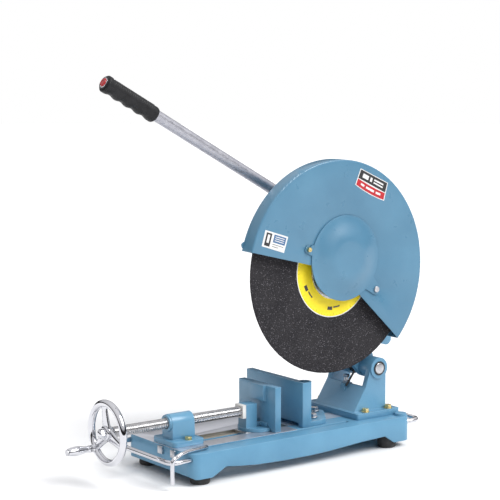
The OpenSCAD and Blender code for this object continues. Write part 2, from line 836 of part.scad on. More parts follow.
module cable_gland() {
    color(rubber) translate([motor[0] + 10, 120, motor[1] - motor_r - 14]) difference() {
        union() {
            translate([0, 0, 3]) cylinder(r = 7, h = 14);
            cylinder(d = 20, h = 8, $fn = 6);
            translate([0, 0, -9]) cylinder(r1 = 6, r2 = 8, h = 9.01);
        }
        translate([0, 0, -20]) cylinder(r = 4, h = 60);
    }
}

// ---- Guard ----

module guard_profile(r, depth) {
    corner = 3.5;
    difference() {
        union() {
            square([r - corner, depth]);
            square([r, depth - corner]);
            translate([r - corner, depth - corner]) circle(corner, $fn = 48);
        }
        translate([-1, -1]) square([r - corner + 1, depth - sheet + 1]);
        translate([-1, -1]) square([r - sheet + 1, depth - corner + 1]);
        translate([r - corner, depth - corner]) circle(corner - sheet, $fn = 48);
    }
}

// A sector of a turned shape about the spindle, with its local +Z towards the near side
module about_hub(y, from, sweep) {
    translate([hub[0], y, hub[1]]) rotate([90, 0, 0]) rotate([0, 0, from])
        rotate_extrude(angle = sweep, $fn = 180) children();
}

module wheel_guard() {
    color(blue) difference() {
        about_hub(guard_back, guard_from, guard_sweep) guard_profile(guard_r, guard_depth);
        // Opening under the hub cover, for the flange bolt
        along_y(cover_at, guard_face - 1, guard_face + 5, cover_r - 9);
        along_y(hub, guard_face - 1, guard_face + 5, flange_d / 2 + 8);
        along_y(cover_pivot, guard_face - 1, guard_face + 5, 3.02);
        along_y(cover_catch, guard_face - 1, guard_face + 5, 2.52);
    }
}

guard_tabs = [163, -22];

module guard_back_plate() {
    color(blue) difference() {
        union() {
            about_hub(guard_back + sheet, guard_from, guard_sweep) square([guard_r, sheet]);
            along_y(hub, guard_back, guard_back + sheet, 62);
            for (a = guard_tabs)
                along_y(hub + (guard_r - 2.5) * [cos(a), sin(a)], guard_back, guard_back + sheet, 7);
        }
        along_y(hub, guard_back - 1, guard_back + 3, 24);
        for (a = [0 : 90 : 270])
            along_y(hub + 29 * [cos(a + 45), sin(a + 45)], guard_back - 1, guard_back + 3, 2.6);
    }
}

module guard_screws() {
    color(steel) {
        for (a = [0 : 90 : 270]) {
            p = hub + 29 * [cos(a + 45), sin(a + 45)];
            along_y(p, guard_back - 2.5, guard_back, 4.5);
        }
        for (a = guard_tabs) {
            p = hub + (guard_r + 0.5) * [cos(a), sin(a)];
            along_y(p, guard_back + sheet, guard_back + sheet + 3, 3);
        }
    }
}

module cover_screws() {
    // Pivot screw of the hub cover, and the knurled catch screw
    color(steel) {
        along_y(cover_pivot, cover_back - 2.6, guard_face + 6, 3);
        along_y(cover_pivot, cover_back - 6, cover_back - 2.5, 6);
    }
    color(zinc) {
        along_y(cover_catch, cover_back - 2.6, guard_face + 6, 2.5);
        along_y(cover_catch, cover_back - 8, cover_back - 2.5, 4.5);
    }
}

module cover_dome_profile(r, rise) {
    corner = 9;
    difference() {
        union() {
            square([r - corner, rise]);
            square([r, rise - corner]);
            translate([r - corner, rise - corner]) circle(corner, $fn = 48);
        }
        translate([-1, -1]) square([r - corner + 1, rise - sheet + 1]);
        translate([-1, -1]) square([r - sheet + 1, rise - corner + 1]);
        translate([r - corner, rise - corner]) circle(corner - sheet, $fn = 48);
        translate([-1, -corner]) square([r + 2, corner]);
    }
}

module hub_cover() {
    color(blue) difference() {
        union() {
            translate([cover_at[0], cover_back, cover_at[1]]) rotate([90, 0, 0])
                rotate_extrude($fn = 120) cover_dome_profile(cover_r, cover_rise);
            difference() {
                slab_y(cover_back - 2, cover_back) {
                    link(cover_at, 20, cover_pivot, 11);
                    link(cover_at, 16, cover_catch, 8);
                }
                along_y(cover_at, cover_back - 5, cover_back + 1, cover_r - 1);
            }
        }
        along_y(cover_pivot, cover_back - 5, cover_back + 1, 3 + running);
        // Open slot at the catch screw
        translate([cover_catch[0], 0, cover_catch[1]]) rotate([0, -61.8, 0])
            translate([0, cover_back - 5, -3.4]) cube([14, 6, 6.8]);
        along_y(cover_catch, cover_back - 5, cover_back + 1, 3.4);
    }
}

// ---- Handle ----

module handle_tube() {
    color(steel) handle_frame() translate([0, 0, -8]) difference() {
        cylinder(r = tube_d / 2, h = handle_len - 14);
        translate([0, 0, -1]) cylinder(r = tube_d / 2 - 2, h = handle_len + 2);
        for (s = [28, 68]) translate([0, 0, s]) rotate([90, 0, 0])
            cylinder(r = 3.1, h = 60, center = true);
    }
}

module handle_screws() {
    color(steel) handle_frame() for (s = [20, 60]) translate([0, 0, s]) {
        rotate([90, 0, 0]) cylinder(r = 3, h = 40, center = true);
        for (m = [-1, 1]) rotate([m * 90, 0, 0]) translate([0, 0, 18]) cylinder(d = 11, h = 5, $fn = 6);
    }
}

module handle_grip() {
    color(rubber) handle_frame() difference() {
        union() {
            translate([0, 0, grip_from]) cylinder(r = 17, h = grip_len);
            translate([0, 0, grip_from - 4]) cylinder(r1 = 14.5, r2 = 17, h = 4.01);
            // Finger stops on the underside
            for (s = [22, 48, 74, 100])
                translate([-5, 0, grip_from + s]) rotate([90, 0, 0])
                    cylinder(r = 15, h = 22, center = true);
        }
        translate([0, 0, grip_from - 10]) cylinder(r = tube_d / 2 + 0.02, h = grip_len - 4 + 1);
        translate([0, 0, grip_from]) cylinder(r = 10, h = grip_len + 1);
    }
}

module switch_box() {
    color(dark) handle_frame() translate([0, 0, handle_len]) difference() {
        union() {
            translate([0, 0, -21]) cylinder(r = 9.8, h = 22);
            cylinder(r = 13, h = 2);
        }
        translate([0, 0, -16]) cylinder(r = 8.4, h = 30);
    }
}

module push_button() {
    color("red") handle_frame() {
        translate([0, 0, handle_len - 7]) cylinder(r = 8, h = 12);
        translate([0, 0, handle_len - 11]) cylinder(r = 3, h = 5);
    }
}

// ---- Wheel and drive ----

module spindle() {
    color(steel) difference() {
        union() {
            along_y(hub, wheel_y0 - 3, -61.9, seat_r);
            along_y(hub, -62, -50, 16);
            along_y(hub, -51, -20, shaft_r);
            along_y(hub, -35, -11.5, 15);
            along_y(hub, -20, far_seat - 1.5, 12);
            along_y(hub, far_seat - 2, 29.5, 7.5);
        }
        along_y(hub, -100, -45, 5.02);
    }
}

module spindle_gear() {
    color(dark) translate([hub[0], 10, hub[1]]) rotate([90, 0, 0]) difference() {
        linear_extrude(20) rotate(20) polygon(gear_points(gear_teeth));
        translate([0, 0, -1]) cylinder(r = 12.02, h = 22);
        for (a = [0 : 60 : 300]) rotate([0, 0, a]) translate([31, 0, -1]) cylinder(r = 9, h = 22);
    }
}

module inner_flange() {
    color(steel) difference() {
        union() {
            along_y(hub, wheel_y1, wheel_y1 + flange_t, flange_d / 2);
            along_y(hub, wheel_y1 + 1, -62, 19);
        }
        along_y(hub, -100, -40, seat_r + 0.02);
        // Relief, so that the flange bears on the wheel at its rim
        difference() {
            along_y(hub, wheel_y1 - 1, wheel_y1 + 1, flange_d / 2 - 12);
            along_y(hub, wheel_y1 - 1, wheel_y1 + 1, 17);
        }
    }
}

module cutting_wheel() {
    color("#2b2b2e") difference() {
        along_y(hub, wheel_y0, wheel_y1, wheel_d / 2, 240);
        along_y(hub, wheel_y0 - 1, wheel_y1 + 1, wheel_bore / 2 + 0.02);
    }
}

module outer_flange() {
    color(steel) difference() {
        union() {
            along_y(hub, wheel_y0 - 4, wheel_y0, flange_d / 2);
            along_y(hub, wheel_y0 - flange_t, wheel_y0, flange_d / 2 - 12);
        }
        along_y(hub, wheel_y0 - 3.5, wheel_y0 + 1, seat_r + 0.02);
        along_y(hub, wheel_y0 - 10, wheel_y0 + 1, 5.02);
        difference() {
            along_y(hub, wheel_y0 - 1, wheel_y0 + 1, flange_d / 2 - 12);
            along_y(hub, wheel_y0 - 1, wheel_y0 + 1, 17);
        }
    }
}

module flange_bolt() {
    color(steel) {
        along_y(hub, bolt_face, wheel_y0 - flange_t - 1.5, 9.2, 6);
        along_y(hub, wheel_y0 - flange_t - 1.5, wheel_y0 - flange_t, 11);
        along_y(hub, bolt_face + 1, -50, 5);
    }
}

// Turns the pinion so that one of its gaps faces the gear's tooth on the line of centres
pinion_turn = 20 + 180 + 180 / pinion_teeth;

module armature() {
    color(steel) {
        along_y(motor, -16, end_cap_y - 9, 6);
        translate([motor[0], 12, motor[1]]) rotate([90, 0, 0])
            linear_extrude(24) rotate(pinion_turn) polygon(gear_points(pinion_teeth));
    }
    color("slategray") difference() {
        along_y(motor, 86, 126, 33.5);
        along_y(motor, 80, 150, 6.01);
        for (a = [0 : 30 : 330]) translate([motor[0], 0, motor[1]]) rotate([0, a, 0])
            translate([26, 85, -2]) cube([10, 42, 4]);
    }
    color("peru") for (y = [79, 126.2]) difference() {
        along_y(motor, y, y + 6.5, 27);
        along_y(motor, y - 1, y + 8, 6.01);
    }
}

module commutator() {
    color("peru") difference() {
        along_y(motor, brush_y - 12, brush_y + 12, 18);
        along_y(motor, brush_y - 20, brush_y + 20, 6.02);
        for (a = [0 : 15 : 345]) translate([motor[0], 0, motor[1]]) rotate([0, a, 0])
            translate([16.5, brush_y - 13, -0.4]) cube([3, 26, 0.8]);
    }
}

module cooling_fan() {
    color(dark) difference() {
        union() {
            along_y(motor, 56, 59, 54);
            along_y(motor, 56, 72, 12);
            for (a = [0 : 24 : 336]) translate([motor[0], 0, motor[1]]) rotate([0, a, 0])
                translate([20, 58.5, -1]) cube([33, 12, 2]);
        }
        along_y(motor, 50, 80, 6.02);
    }
}

base_casting();
rubber_feet();
front_bail();
rear_bail();
nut_block();
nut_block_bolts();
vise_nut();
front_wall_bolts();
pivot_bracket();
bracket_bolts();
pivot_pin();
pin_rings();
return_spring();
stop_bolt();
stop_nut();
fixed_jaw_bolts();
wheel_wrench();
vise_screw();
handwheel();
handwheel_nut();
crank_pin();
crank_handle();
jaw_carriage();
screw_collar();
guide_block();
swivel_pin();
moving_jaw();
fixed_jaw();
arm_casting();
arm_bushings();
gear_case_cover();
gear_case_screws();
spindle_bearings();
motor_housing();
motor_stator();
motor_end_cap();
motor_screws();
brush_holders();
carbon_brushes();
armature_bearings();
cable_gland();
wheel_guard();
guard_back_plate();
guard_screws();
cover_screws();
handle_tube();
handle_screws();
handle_grip();
switch_box();
spindle();
spindle_gear();
inner_flange();
cutting_wheel();
outer_flange();
flange_bolt();
armature();
commutator();
cooling_fan();
hub_cover();
push_button();
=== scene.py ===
"""Looks of an abrasive chop saw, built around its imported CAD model. Metres, in the CAD frame."""

import json
import math

import bmesh
import bpy
from mathutils import Matrix, Vector, noise


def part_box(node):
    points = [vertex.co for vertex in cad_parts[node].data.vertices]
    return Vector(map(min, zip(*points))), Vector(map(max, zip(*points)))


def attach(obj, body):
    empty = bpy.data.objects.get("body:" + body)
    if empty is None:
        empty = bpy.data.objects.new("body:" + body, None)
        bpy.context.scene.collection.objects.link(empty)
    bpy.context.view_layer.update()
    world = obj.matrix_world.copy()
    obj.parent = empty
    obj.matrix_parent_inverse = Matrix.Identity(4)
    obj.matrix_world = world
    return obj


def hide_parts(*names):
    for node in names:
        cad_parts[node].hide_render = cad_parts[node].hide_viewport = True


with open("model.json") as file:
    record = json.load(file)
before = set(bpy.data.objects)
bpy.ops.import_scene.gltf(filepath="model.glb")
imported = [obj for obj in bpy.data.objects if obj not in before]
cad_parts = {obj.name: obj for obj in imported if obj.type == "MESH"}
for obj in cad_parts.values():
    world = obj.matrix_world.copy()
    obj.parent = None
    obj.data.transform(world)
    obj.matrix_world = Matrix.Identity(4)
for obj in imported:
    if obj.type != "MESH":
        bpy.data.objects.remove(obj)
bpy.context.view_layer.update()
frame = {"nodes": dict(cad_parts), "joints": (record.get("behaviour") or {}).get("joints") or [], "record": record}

MM = 0.001
BODIES = frame["record"]["behaviour"]["bodies"]
BODY_OF = {node: body for body, members in BODIES.items() for node in members}
SLOT_OF = {s["node"]: s["material_slot"] for s in frame["record"]["subparts"]}
JOINTS = {j["name"]: j for j in frame["joints"]}

# ---- Camera, light and floor ----

CAMERA_AT = (-1.8636, -2.4489, 0.7984)
CAMERA_AZIMUTH = -36.7
CAMERA_PITCH = 7.2
LENS = 114.8


def make_camera():
    data = bpy.data.cameras.new("camera")
    data.sensor_width = 36
    data.lens = LENS
    camera = bpy.data.objects.new("camera", data)
    camera.location = CAMERA_AT
    camera.rotation_euler = [math.radians(a) for a in (90 - CAMERA_PITCH, 0, CAMERA_AZIMUTH)]
    bpy.context.scene.collection.objects.link(camera)
    bpy.context.scene.camera = camera


def sun(name, from_direction, angle, strength):
    """A broad, soft sun that shines from a direction."""
    data = bpy.data.lights.new(name, "SUN")
    data.angle = math.radians(angle)
    data.energy = strength
    light = bpy.data.objects.new(name, data)
    light.rotation_euler = Vector(from_direction).to_track_quat("Z", "Y").to_euler()
    bpy.context.scene.collection.objects.link(light)


def make_world():
    """A studio that the surfaces reflect, and a white backdrop that the camera sees."""
    world = bpy.data.worlds.new("studio")
    bpy.context.scene.world = world
    world.use_nodes = True
    tree = world.node_tree
    tree.nodes.clear()
    # Grey below the horizon, a dark band just above it for the chrome to show, and a bright ceiling.
    stops = [(0.0, 0.5), (0.49, 0.5), (0.50, 0.01), (0.60, 0.02), (0.66, 0.65), (1.0, 0.95)]
    place = tree.nodes.new("ShaderNodeTexCoord")
    split = tree.nodes.new("ShaderNodeSeparateXYZ")
    ramp = tree.nodes.new("ShaderNodeValToRGB")
    while len(ramp.color_ramp.elements) < len(stops):
        ramp.color_ramp.elements.new(0.5)
    for element, (at, level) in zip(ramp.color_ramp.elements, stops):
        element.position = at
        element.color = (level, level, level * 1.02, 1)
    shift = tree.nodes.new("ShaderNodeMapRange")
    shift.inputs["From Min"].default_value = -1
    room = tree.nodes.new("ShaderNodeBackground")
    seen = tree.nodes.new("ShaderNodeBackground")
    seen.inputs["Color"].default_value = (1, 1, 1, 1)
    rays = tree.nodes.new("ShaderNodeLightPath")
    choose = tree.nodes.new("ShaderNodeMixShader")
    out = tree.nodes.new("ShaderNodeOutputWorld")
    tree.links.new(place.outputs["Generated"], split.inputs[0])
    tree.links.new(split.outputs["Z"], shift.inputs["Value"])
    tree.links.new(shift.outputs["Result"], ramp.inputs["Fac"])
    tree.links.new(ramp.outputs["Color"], room.inputs["Color"])
    tree.links.new(rays.outputs["Is Camera Ray"], choose.inputs["Fac"])
    tree.links.new(room.outputs[0], choose.inputs[1])
    tree.links.new(seen.outputs[0], choose.inputs[2])
    tree.links.new(choose.outputs[0], out.inputs["Surface"])


def make_floor():
    """A broad, pale, matte disc under the saw."""
    bm = bmesh.new()
    bmesh.ops.create_circle(bm, cap_ends=True, radius=14, segments=96)
    mesh = bpy.data.meshes.new("floor")
    bm.to_mesh(mesh)
    bm.free()
    r = Recipe("floor", 0.9)
    r.set(Specular_IOR_Level=0.0)
    r.mottled(3, 2, 0.3, 0.7, (0.93, 0.93, 0.93), (0.95, 0.95, 0.95))
    mesh.materials.append(r.done())
    floor = bpy.data.objects.new("floor", mesh)
    bpy.context.scene.collection.objects.link(floor)


# ---- Materials ----


class Recipe:
    """A procedural material on the Principled shader, built up in small steps."""

    def __init__(self, name, roughness, metallic=0.0, edge=0.9 * MM):
        self.material = bpy.data.materials.new(name)
        self.material.use_nodes = True
        self.tree = self.material.node_tree
        self.shader = self.tree.nodes["Principled BSDF"]
        self.shader.inputs["Roughness"].default_value = roughness
        self.shader.inputs["Metallic"].default_value = metallic
        self.place = self.node("TexCoord").outputs["Object"]
        bevel = self.node("Bevel")
        bevel.samples = 4
        bevel.inputs["Radius"].default_value = edge
        self.normal = bevel.outputs["Normal"]
        self.soft_normal = self.normal

    def node(self, kind):
        return self.tree.nodes.new("ShaderNode" + kind)

    def put(self, socket, value):
        if isinstance(value, bpy.types.NodeSocket):
            self.tree.links.new(value, socket)
        elif hasattr(value, "__len__") and len(value) == 3 and len(socket.default_value) == 4:
            socket.default_value = (*value, 1)
        else:
            socket.default_value = value

    def set(self, **inputs):
        for key, value in inputs.items():
            self.put(self.shader.inputs[key.replace("_", " ")], value)
        return self

    def noise(self, scale, detail=3, stretch=(1, 1, 1)):
        mapping = self.node("Mapping")
        mapping.inputs["Scale"].default_value = stretch
        texture = self.node("TexNoise")
        self.put(mapping.inputs["Vector"], self.place)
        self.put(texture.inputs["Vector"], mapping.outputs[0])
        texture.inputs["Scale"].default_value = scale
        texture.inputs["Detail"].default_value = detail
        return texture.outputs["Fac"]

    def cells(self, scale):
        texture = self.node("TexVoronoi")
        self.put(texture.inputs["Vector"], self.place)
        texture.inputs["Scale"].default_value = scale
        return texture.outputs["Distance"]

    def spread(self, value, low, high, out_low=0.0, out_high=1.0):
        node = self.node("MapRange")
        self.put(node.inputs["Value"], value)
        ends = {"From Min": low, "From Max": high, "To Min": out_low, "To Max": out_high}
        for key, v in ends.items():
            node.inputs[key].default_value = v
        return node.outputs["Result"]

    def mix(self, factor, a, b):
        node = self.node("Mix")
        node.data_type = "RGBA"
        self.put(node.inputs["Factor"], factor)
        self.put(node.inputs[6], a)
        self.put(node.inputs[7], b)
        return node.outputs[2]

    def math(self, operation, a, b=0.0):
        node = self.node("Math")
        node.operation = operation
        self.put(node.inputs[0], a)
        self.put(node.inputs[1], b)
        return node.outputs[0]

    def mottled(self, scale, detail, low, high, a, b):
        """Sets a colour that wanders between two shades, where noise goes from low to high."""
        return self.set(Base_Color=self.mix(self.spread(self.noise(scale, detail), low, high), a, b))

    def axis(self, letter):
        split = self.node("SeparateXYZ")
        self.put(split.inputs[0], self.place)
        return split.outputs[letter]

    def above(self, letter, edge, width=0.0004):
        return self.spread(self.axis(letter), edge - width, edge + width)

    def edges(self, low=0.02, high=0.12):
        """1 along sharp edges, 0 on faces."""
        shape = self.node("NewGeometry")
        dot = self.node("VectorMath")
        dot.operation = "DOT_PRODUCT"
        self.put(dot.inputs[0], self.soft_normal)
        self.put(dot.inputs[1], shape.outputs["Normal"])
        return self.spread(dot.outputs["Value"], 1 - low, 1 - high)

    def bump(self, height, distance, strength=1.0):
        node = self.node("Bump")
        node.inputs["Distance"].default_value = distance
        node.inputs["Strength"].default_value = strength
        self.put(node.inputs["Height"], height)
        self.put(node.inputs["Normal"], self.normal)
        self.normal = node.outputs["Normal"]
        return self

    def done(self):
        self.put(self.shader.inputs["Normal"], self.normal)
        return self.material


PAINT = (0.128, 0.318, 0.480)
PAINT_DARK = (0.098, 0.262, 0.410)
# Lighter blue for sharp edges: partly worn paint, partly a painted highlight along the edges.
PAINT_EDGE = (0.30, 0.52, 0.68)
BARE = (0.74, 0.75, 0.80)


def paint_base(recipe, edge_wear_and_highlight=0.75, painted_shade=1.0):
    mottle = recipe.spread(recipe.noise(9, 4), 0.35, 0.68)
    # painted_shade scales both blues down: a painted shade for parts that are to look darker.
    colour = recipe.mix(mottle, [c * painted_shade for c in PAINT_DARK], [c * painted_shade for c in PAINT])
    if not edge_wear_and_highlight:
        return colour
    # Sharp edges turn lighter where noise allows: partly worn paint, partly a painted edge highlight.
    worn_and_lit_edges = recipe.math("MULTIPLY", recipe.edges(), recipe.spread(recipe.noise(60, 3), 0.35, 0.65))
    return recipe.mix(recipe.math("MULTIPLY", worn_and_lit_edges, edge_wear_and_highlight), colour, PAINT_EDGE)


def sheet_paint():
    r = Recipe("sheet_paint", 0.30, edge=0.3 * MM)
    # The same blue darkened to 0.78: painted shade, so the sheet parts look darker than the castings.
    r.set(Base_Color=paint_base(r, 0, 0.78), Coat_Weight=0.15, Coat_Roughness=0.15)
    r.set(Roughness=r.spread(r.noise(35), 0.3, 0.7, 0.26, 0.38))
    return r.bump(r.noise(260, 2), 0.00010, 0.3).bump(r.noise(14, 2), 0.0008, 0.35).done()


def cast_paint():
    r = Recipe("cast_paint", 0.36, edge=1.3 * MM)
    r.set(Base_Color=paint_base(r), Coat_Weight=0.3, Coat_Roughness=0.18)
    r.set(Roughness=r.spread(r.noise(50), 0.3, 0.7, 0.30, 0.46))
    return r.bump(r.noise(230, 4), 0.0005, 0.55).bump(r.noise(28, 3), 0.0016, 0.45).done()


BED_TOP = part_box("nut_block")[0].z
BARE_TO_X = 26 * MM
WHEEL_SLOT_Y = -69 * MM
GROOVE_FROM_X = -184 * MM
GROOVE_SIDES_Y = (-34 * MM, 10 * MM)
GROOVE_DEPTH = 5 * MM


def bed_paint():
    """Paint, with the front of the bed and the floor of the guide groove machined bare."""
    r = Recipe("bed_paint", 0.36, edge=1.3 * MM)
    top = r.above("Z", BED_TOP - 0.3 * MM, 0.1 * MM)
    ahead = r.spread(r.axis("X"), BARE_TO_X + 1 * MM, BARE_TO_X - 1 * MM)
    beside = r.above("Y", WHEEL_SLOT_Y - 1 * MM)
    near, far = GROOVE_SIDES_Y
    groove = r.math("MULTIPLY", r.above("Y", near), r.spread(r.axis("Y"), far, far - 1 * MM))
    floor = r.above("Z", BED_TOP - GROOVE_DEPTH - 0.6 * MM)
    inside = r.math("MULTIPLY", r.above("X", GROOVE_FROM_X), r.math("MULTIPLY", groove, floor))
    bare = r.math("MAXIMUM", r.math("MULTIPLY", top, beside), inside)
    bare = r.math("MULTIPLY", bare, r.math("MAXIMUM", ahead, r.math("MULTIPLY", inside, 0.6)))
    lines = r.noise(90, 3, (0.15, 12, 1))
    low = r.math("SUBTRACT", 1.0, top)
    metal = r.mix(r.math("MULTIPLY", low, inside), BARE, (0.34, 0.30, 0.22))
    metal = r.mix(r.spread(lines, 0.35, 0.65, 0.0, 0.35), metal, (0.52, 0.54, 0.60))
    r.set(Base_Color=r.mix(bare, paint_base(r), metal), Metallic=r.math("MULTIPLY", bare, 0.85))
    r.set(Roughness=r.spread(bare, 0, 1, 0.38, 0.34))
    return r.bump(r.noise(230, 4), 0.0004, 0.5).bump(r.noise(28, 3), 0.0014, 0.4).done()


def chrome():
    r = Recipe("chrome", 0.07, 1.0, edge=0.5 * MM)
    r.mottled(30, 3, 0.4, 0.7, (0.70, 0.70, 0.73), (0.60, 0.61, 0.65))
    r.set(Roughness=r.spread(r.noise(80, 4), 0.35, 0.75, 0.05, 0.16))
    return r.bump(r.noise(60, 2), 0.0003, 0.12).done()


def bare_steel():
    r = Recipe("bare_steel", 0.3, 1.0, edge=0.5 * MM)
    r.mottled(45, 4, 0.35, 0.7, (0.62, 0.62, 0.64), (0.48, 0.49, 0.52))
    r.set(Roughness=r.spread(r.noise(140, 4), 0.3, 0.7, 0.22, 0.40))
    return r.bump(r.noise(500, 2), 0.00008, 0.4).done()


def satin_tube():
    r = Recipe("satin_tube", 0.45, 1.0, edge=0.4 * MM)
    r.mottled(160, 3, 0.3, 0.7, (0.44, 0.44, 0.49), (0.54, 0.54, 0.58))
    r.set(Roughness=r.spread(r.noise(60, 4), 0.3, 0.7, 0.38, 0.50))
    return r.bump(r.noise(700, 2), 0.00006, 0.5).done()


def thread_steel():
    r = Recipe("thread_steel", 0.2, 1.0, edge=0.2 * MM)
    r.mottled(90, 3, 0.3, 0.7, (0.54, 0.53, 0.53), (0.40, 0.40, 0.41))
    r.set(Roughness=r.spread(r.noise(120, 4), 0.3, 0.7, 0.14, 0.3))
    return r.bump(r.noise(400, 2), 0.00005, 0.4).done()


def gold_zinc():
    r = Recipe("gold_zinc", 0.25, 1.0, edge=0.4 * MM)
    r.mottled(120, 3, 0.3, 0.7, (0.80, 0.60, 0.20), (0.72, 0.62, 0.36))
    r.set(Roughness=r.spread(r.noise(200, 3), 0.3, 0.7, 0.18, 0.34))
    return r.bump(r.noise(500, 2), 0.00006, 0.4).done()


def bronze():
    r = Recipe("bronze", 0.35, 1.0, edge=0.4 * MM)
    r.mottled(60, 3, 0.3, 0.7, (0.55, 0.36, 0.17), (0.40, 0.26, 0.13))
    return r.bump(r.noise(300, 3), 0.0001, 0.5).done()


def copper():
    r = Recipe("copper", 0.32, 1.0, edge=0.4 * MM)
    wire = r.noise(260, 2, (0.2, 6, 0.2))
    r.set(Base_Color=r.mix(r.spread(wire, 0.35, 0.65), (0.66, 0.28, 0.12), (0.42, 0.15, 0.06)))
    return r.bump(wire, 0.0004, 0.6).done()


def aluminium():
    r = Recipe("aluminium", 0.35, 1.0)
    r.mottled(60, 3, 0.3, 0.7, (0.72, 0.73, 0.74), (0.6, 0.61, 0.63))
    return r.bump(r.noise(300, 3), 0.0001, 0.5).done()


def dark_steel():
    r = Recipe("dark_steel", 0.32, 0.9, edge=0.4 * MM)
    r.mottled(80, 4, 0.3, 0.7, (0.045, 0.045, 0.05), (0.09, 0.088, 0.085))
    r.set(Roughness=r.spread(r.noise(130, 3), 0.3, 0.7, 0.24, 0.45))
    return r.bump(r.noise(350, 3), 0.00012, 0.5).done()


def rubber():
    r = Recipe("rubber", 0.62, edge=0.8 * MM)
    r.mottled(70, 4, 0.35, 0.7, (0.018, 0.018, 0.019), (0.042, 0.041, 0.040))
    return r.bump(r.noise(600, 3), 0.0002, 0.6).done()


def black_plastic():
    r = Recipe("black_plastic", 0.4, edge=0.6 * MM)
    r.mottled(60, 3, 0.35, 0.7, (0.010, 0.010, 0.011), (0.018, 0.018, 0.020))
    r.set(Roughness=r.spread(r.cells(700), 0.1, 0.6, 0.32, 0.5), Specular_IOR_Level=0.3)
    return r.bump(r.cells(900), 0.00025, 0.5).done()


def red_plastic():
    r = Recipe("red_plastic", 0.22, edge=0.6 * MM)
    r.mottled(150, 2, 0.35, 0.7, (0.45, 0.006, 0.010), (0.33, 0.004, 0.008))
    return r.set(Coat_Weight=0.3).bump(r.noise(300, 2), 0.00008, 0.4).done()


def white_plastic():
    r = Recipe("white_plastic", 0.35, edge=0.5 * MM)
    r.mottled(90, 3, 0.35, 0.7, (0.82, 0.81, 0.78), (0.70, 0.69, 0.66))
    return r.bump(r.noise(300, 2), 0.0001, 0.4).done()


def carbon():
    r = Recipe("carbon", 0.7, edge=0.4 * MM)
    r.mottled(200, 4, 0.35, 0.7, (0.02, 0.02, 0.021), (0.06, 0.06, 0.06))
    return r.bump(r.noise(500, 4), 0.0002, 0.7).done()


def abrasive():
    """Grit in resin: fine dark grain with paler clouds and a few bright crystals."""
    r = Recipe("abrasive", 0.72, edge=0.4 * MM)
    grain = r.noise(520, 5)
    crystals = r.spread(r.cells(330), 0.28, 0.12)
    sparkle = r.math("MULTIPLY", crystals, r.spread(r.noise(190, 2), 0.40, 0.54))
    base = r.mix(r.spread(grain, 0.32, 0.72), (0.008, 0.0075, 0.009), (0.040, 0.038, 0.043))
    base = r.mix(r.spread(r.noise(22, 4), 0.4, 0.7, 0, 0.35), base, (0.05, 0.047, 0.050))
    r.set(Base_Color=r.mix(sparkle, base, (0.22, 0.21, 0.23)))
    r.set(Roughness=r.spread(sparkle, 0, 1, 0.80, 0.32), Specular_IOR_Level=0.2)
    return r.bump(grain, 0.0009, 0.9).bump(r.cells(300), 0.0006, 0.6).done()


def yellow_paper():
    r = Recipe("yellow_paper", 0.5, edge=0.3 * MM)
    r.mottled(160, 4, 0.35, 0.7, (1.0, 0.80, 0.02), (0.93, 0.72, 0.015))
    return r.bump(r.noise(700, 4), 0.00012, 0.6).done()


def printed(name, colour, other):
    r = Recipe(name, 0.34, edge=0.2 * MM)
    r.mottled(220, 3, 0.35, 0.7, colour, other).set(Coat_Weight=0.2)
    return r.bump(r.noise(500, 2), 0.00005, 0.4).done()


MATERIALS = {
    "blue_paint": cast_paint(), "bare_steel": bare_steel(), "chrome": chrome(),
    "gold_zinc": gold_zinc(), "black_rubber": rubber(), "bronze": bronze(),
    "dark_steel": dark_steel(), "black_plastic": black_plastic(), "abrasive": abrasive(),
    "aluminium": aluminium(), "white_plastic": white_plastic(), "red_plastic": red_plastic(),
    "copper": copper(), "carbon": carbon(),
}
SHEET = sheet_paint()
BED = bed_paint()
TUBE = satin_tube()
THREAD = thread_steel()
YELLOW = yellow_paper()
INK_WHITE = printed("ink_white", (0.80, 0.80, 0.79), (0.72, 0.72, 0.72))
INK_BLACK = printed("ink_black", (0.012, 0.012, 0.013), (0.028, 0.028, 0.03))
INK_RED = printed("ink_red", (0.55, 0.012, 0.022), (0.42, 0.010, 0.018))
INK_BLUE = printed("ink_blue", (0.045, 0.13, 0.28), (0.06, 0.16, 0.33))
SHEET_NODES = ("wheel_guard", "guard_back_plate", "motor_housing")

# ---- Mesh helpers ----


def make(name, bm, body, material, replaces=(), sharp=38):
    """Turns a bmesh in the CAD frame into a finished piece."""
    bmesh.ops.remove_doubles(bm, verts=bm.verts, dist=1e-6)
    bmesh.ops.recalc_face_normals(bm, faces=bm.faces)
    mesh = bpy.data.meshes.new(name)
    bm.to_mesh(mesh)
    bm.free()
    for polygon in mesh.polygons:
        polygon.use_smooth = True
    mesh.set_sharp_from_angle(angle=math.radians(sharp))
    mesh.materials.append(material)
    piece = bpy.data.objects.new(name, mesh)
    bpy.context.scene.collection.objects.link(piece)
    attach(piece, body)
    if replaces:
        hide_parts(*replaces)


def instead(node, name, bm, material=None, sharp=38):
    """Finishes a piece that stands for a CAD node, on that node's body and slot."""
    slot = SLOT_OF[node]
    make(name, bm, BODY_OF[node], material or MATERIALS[slot], (node,), sharp)


def add_grid(bm, rows, close_rows=False):
    """Joins closed rings of points into quads, and the last ring to the first if asked."""
    made = [[bm.verts.new(p) for p in row] for row in rows]
    count = len(made)
    for i in range(count if close_rows else count - 1):
        a, b = made[i], made[(i + 1) % count]
        for k in range(len(a)):
            m = (k + 1) % len(a)
            bm.faces.new((a[k], a[m], b[m], b[k]))
    return made


def cap(bm, ring):
    bm.faces.new(ring)


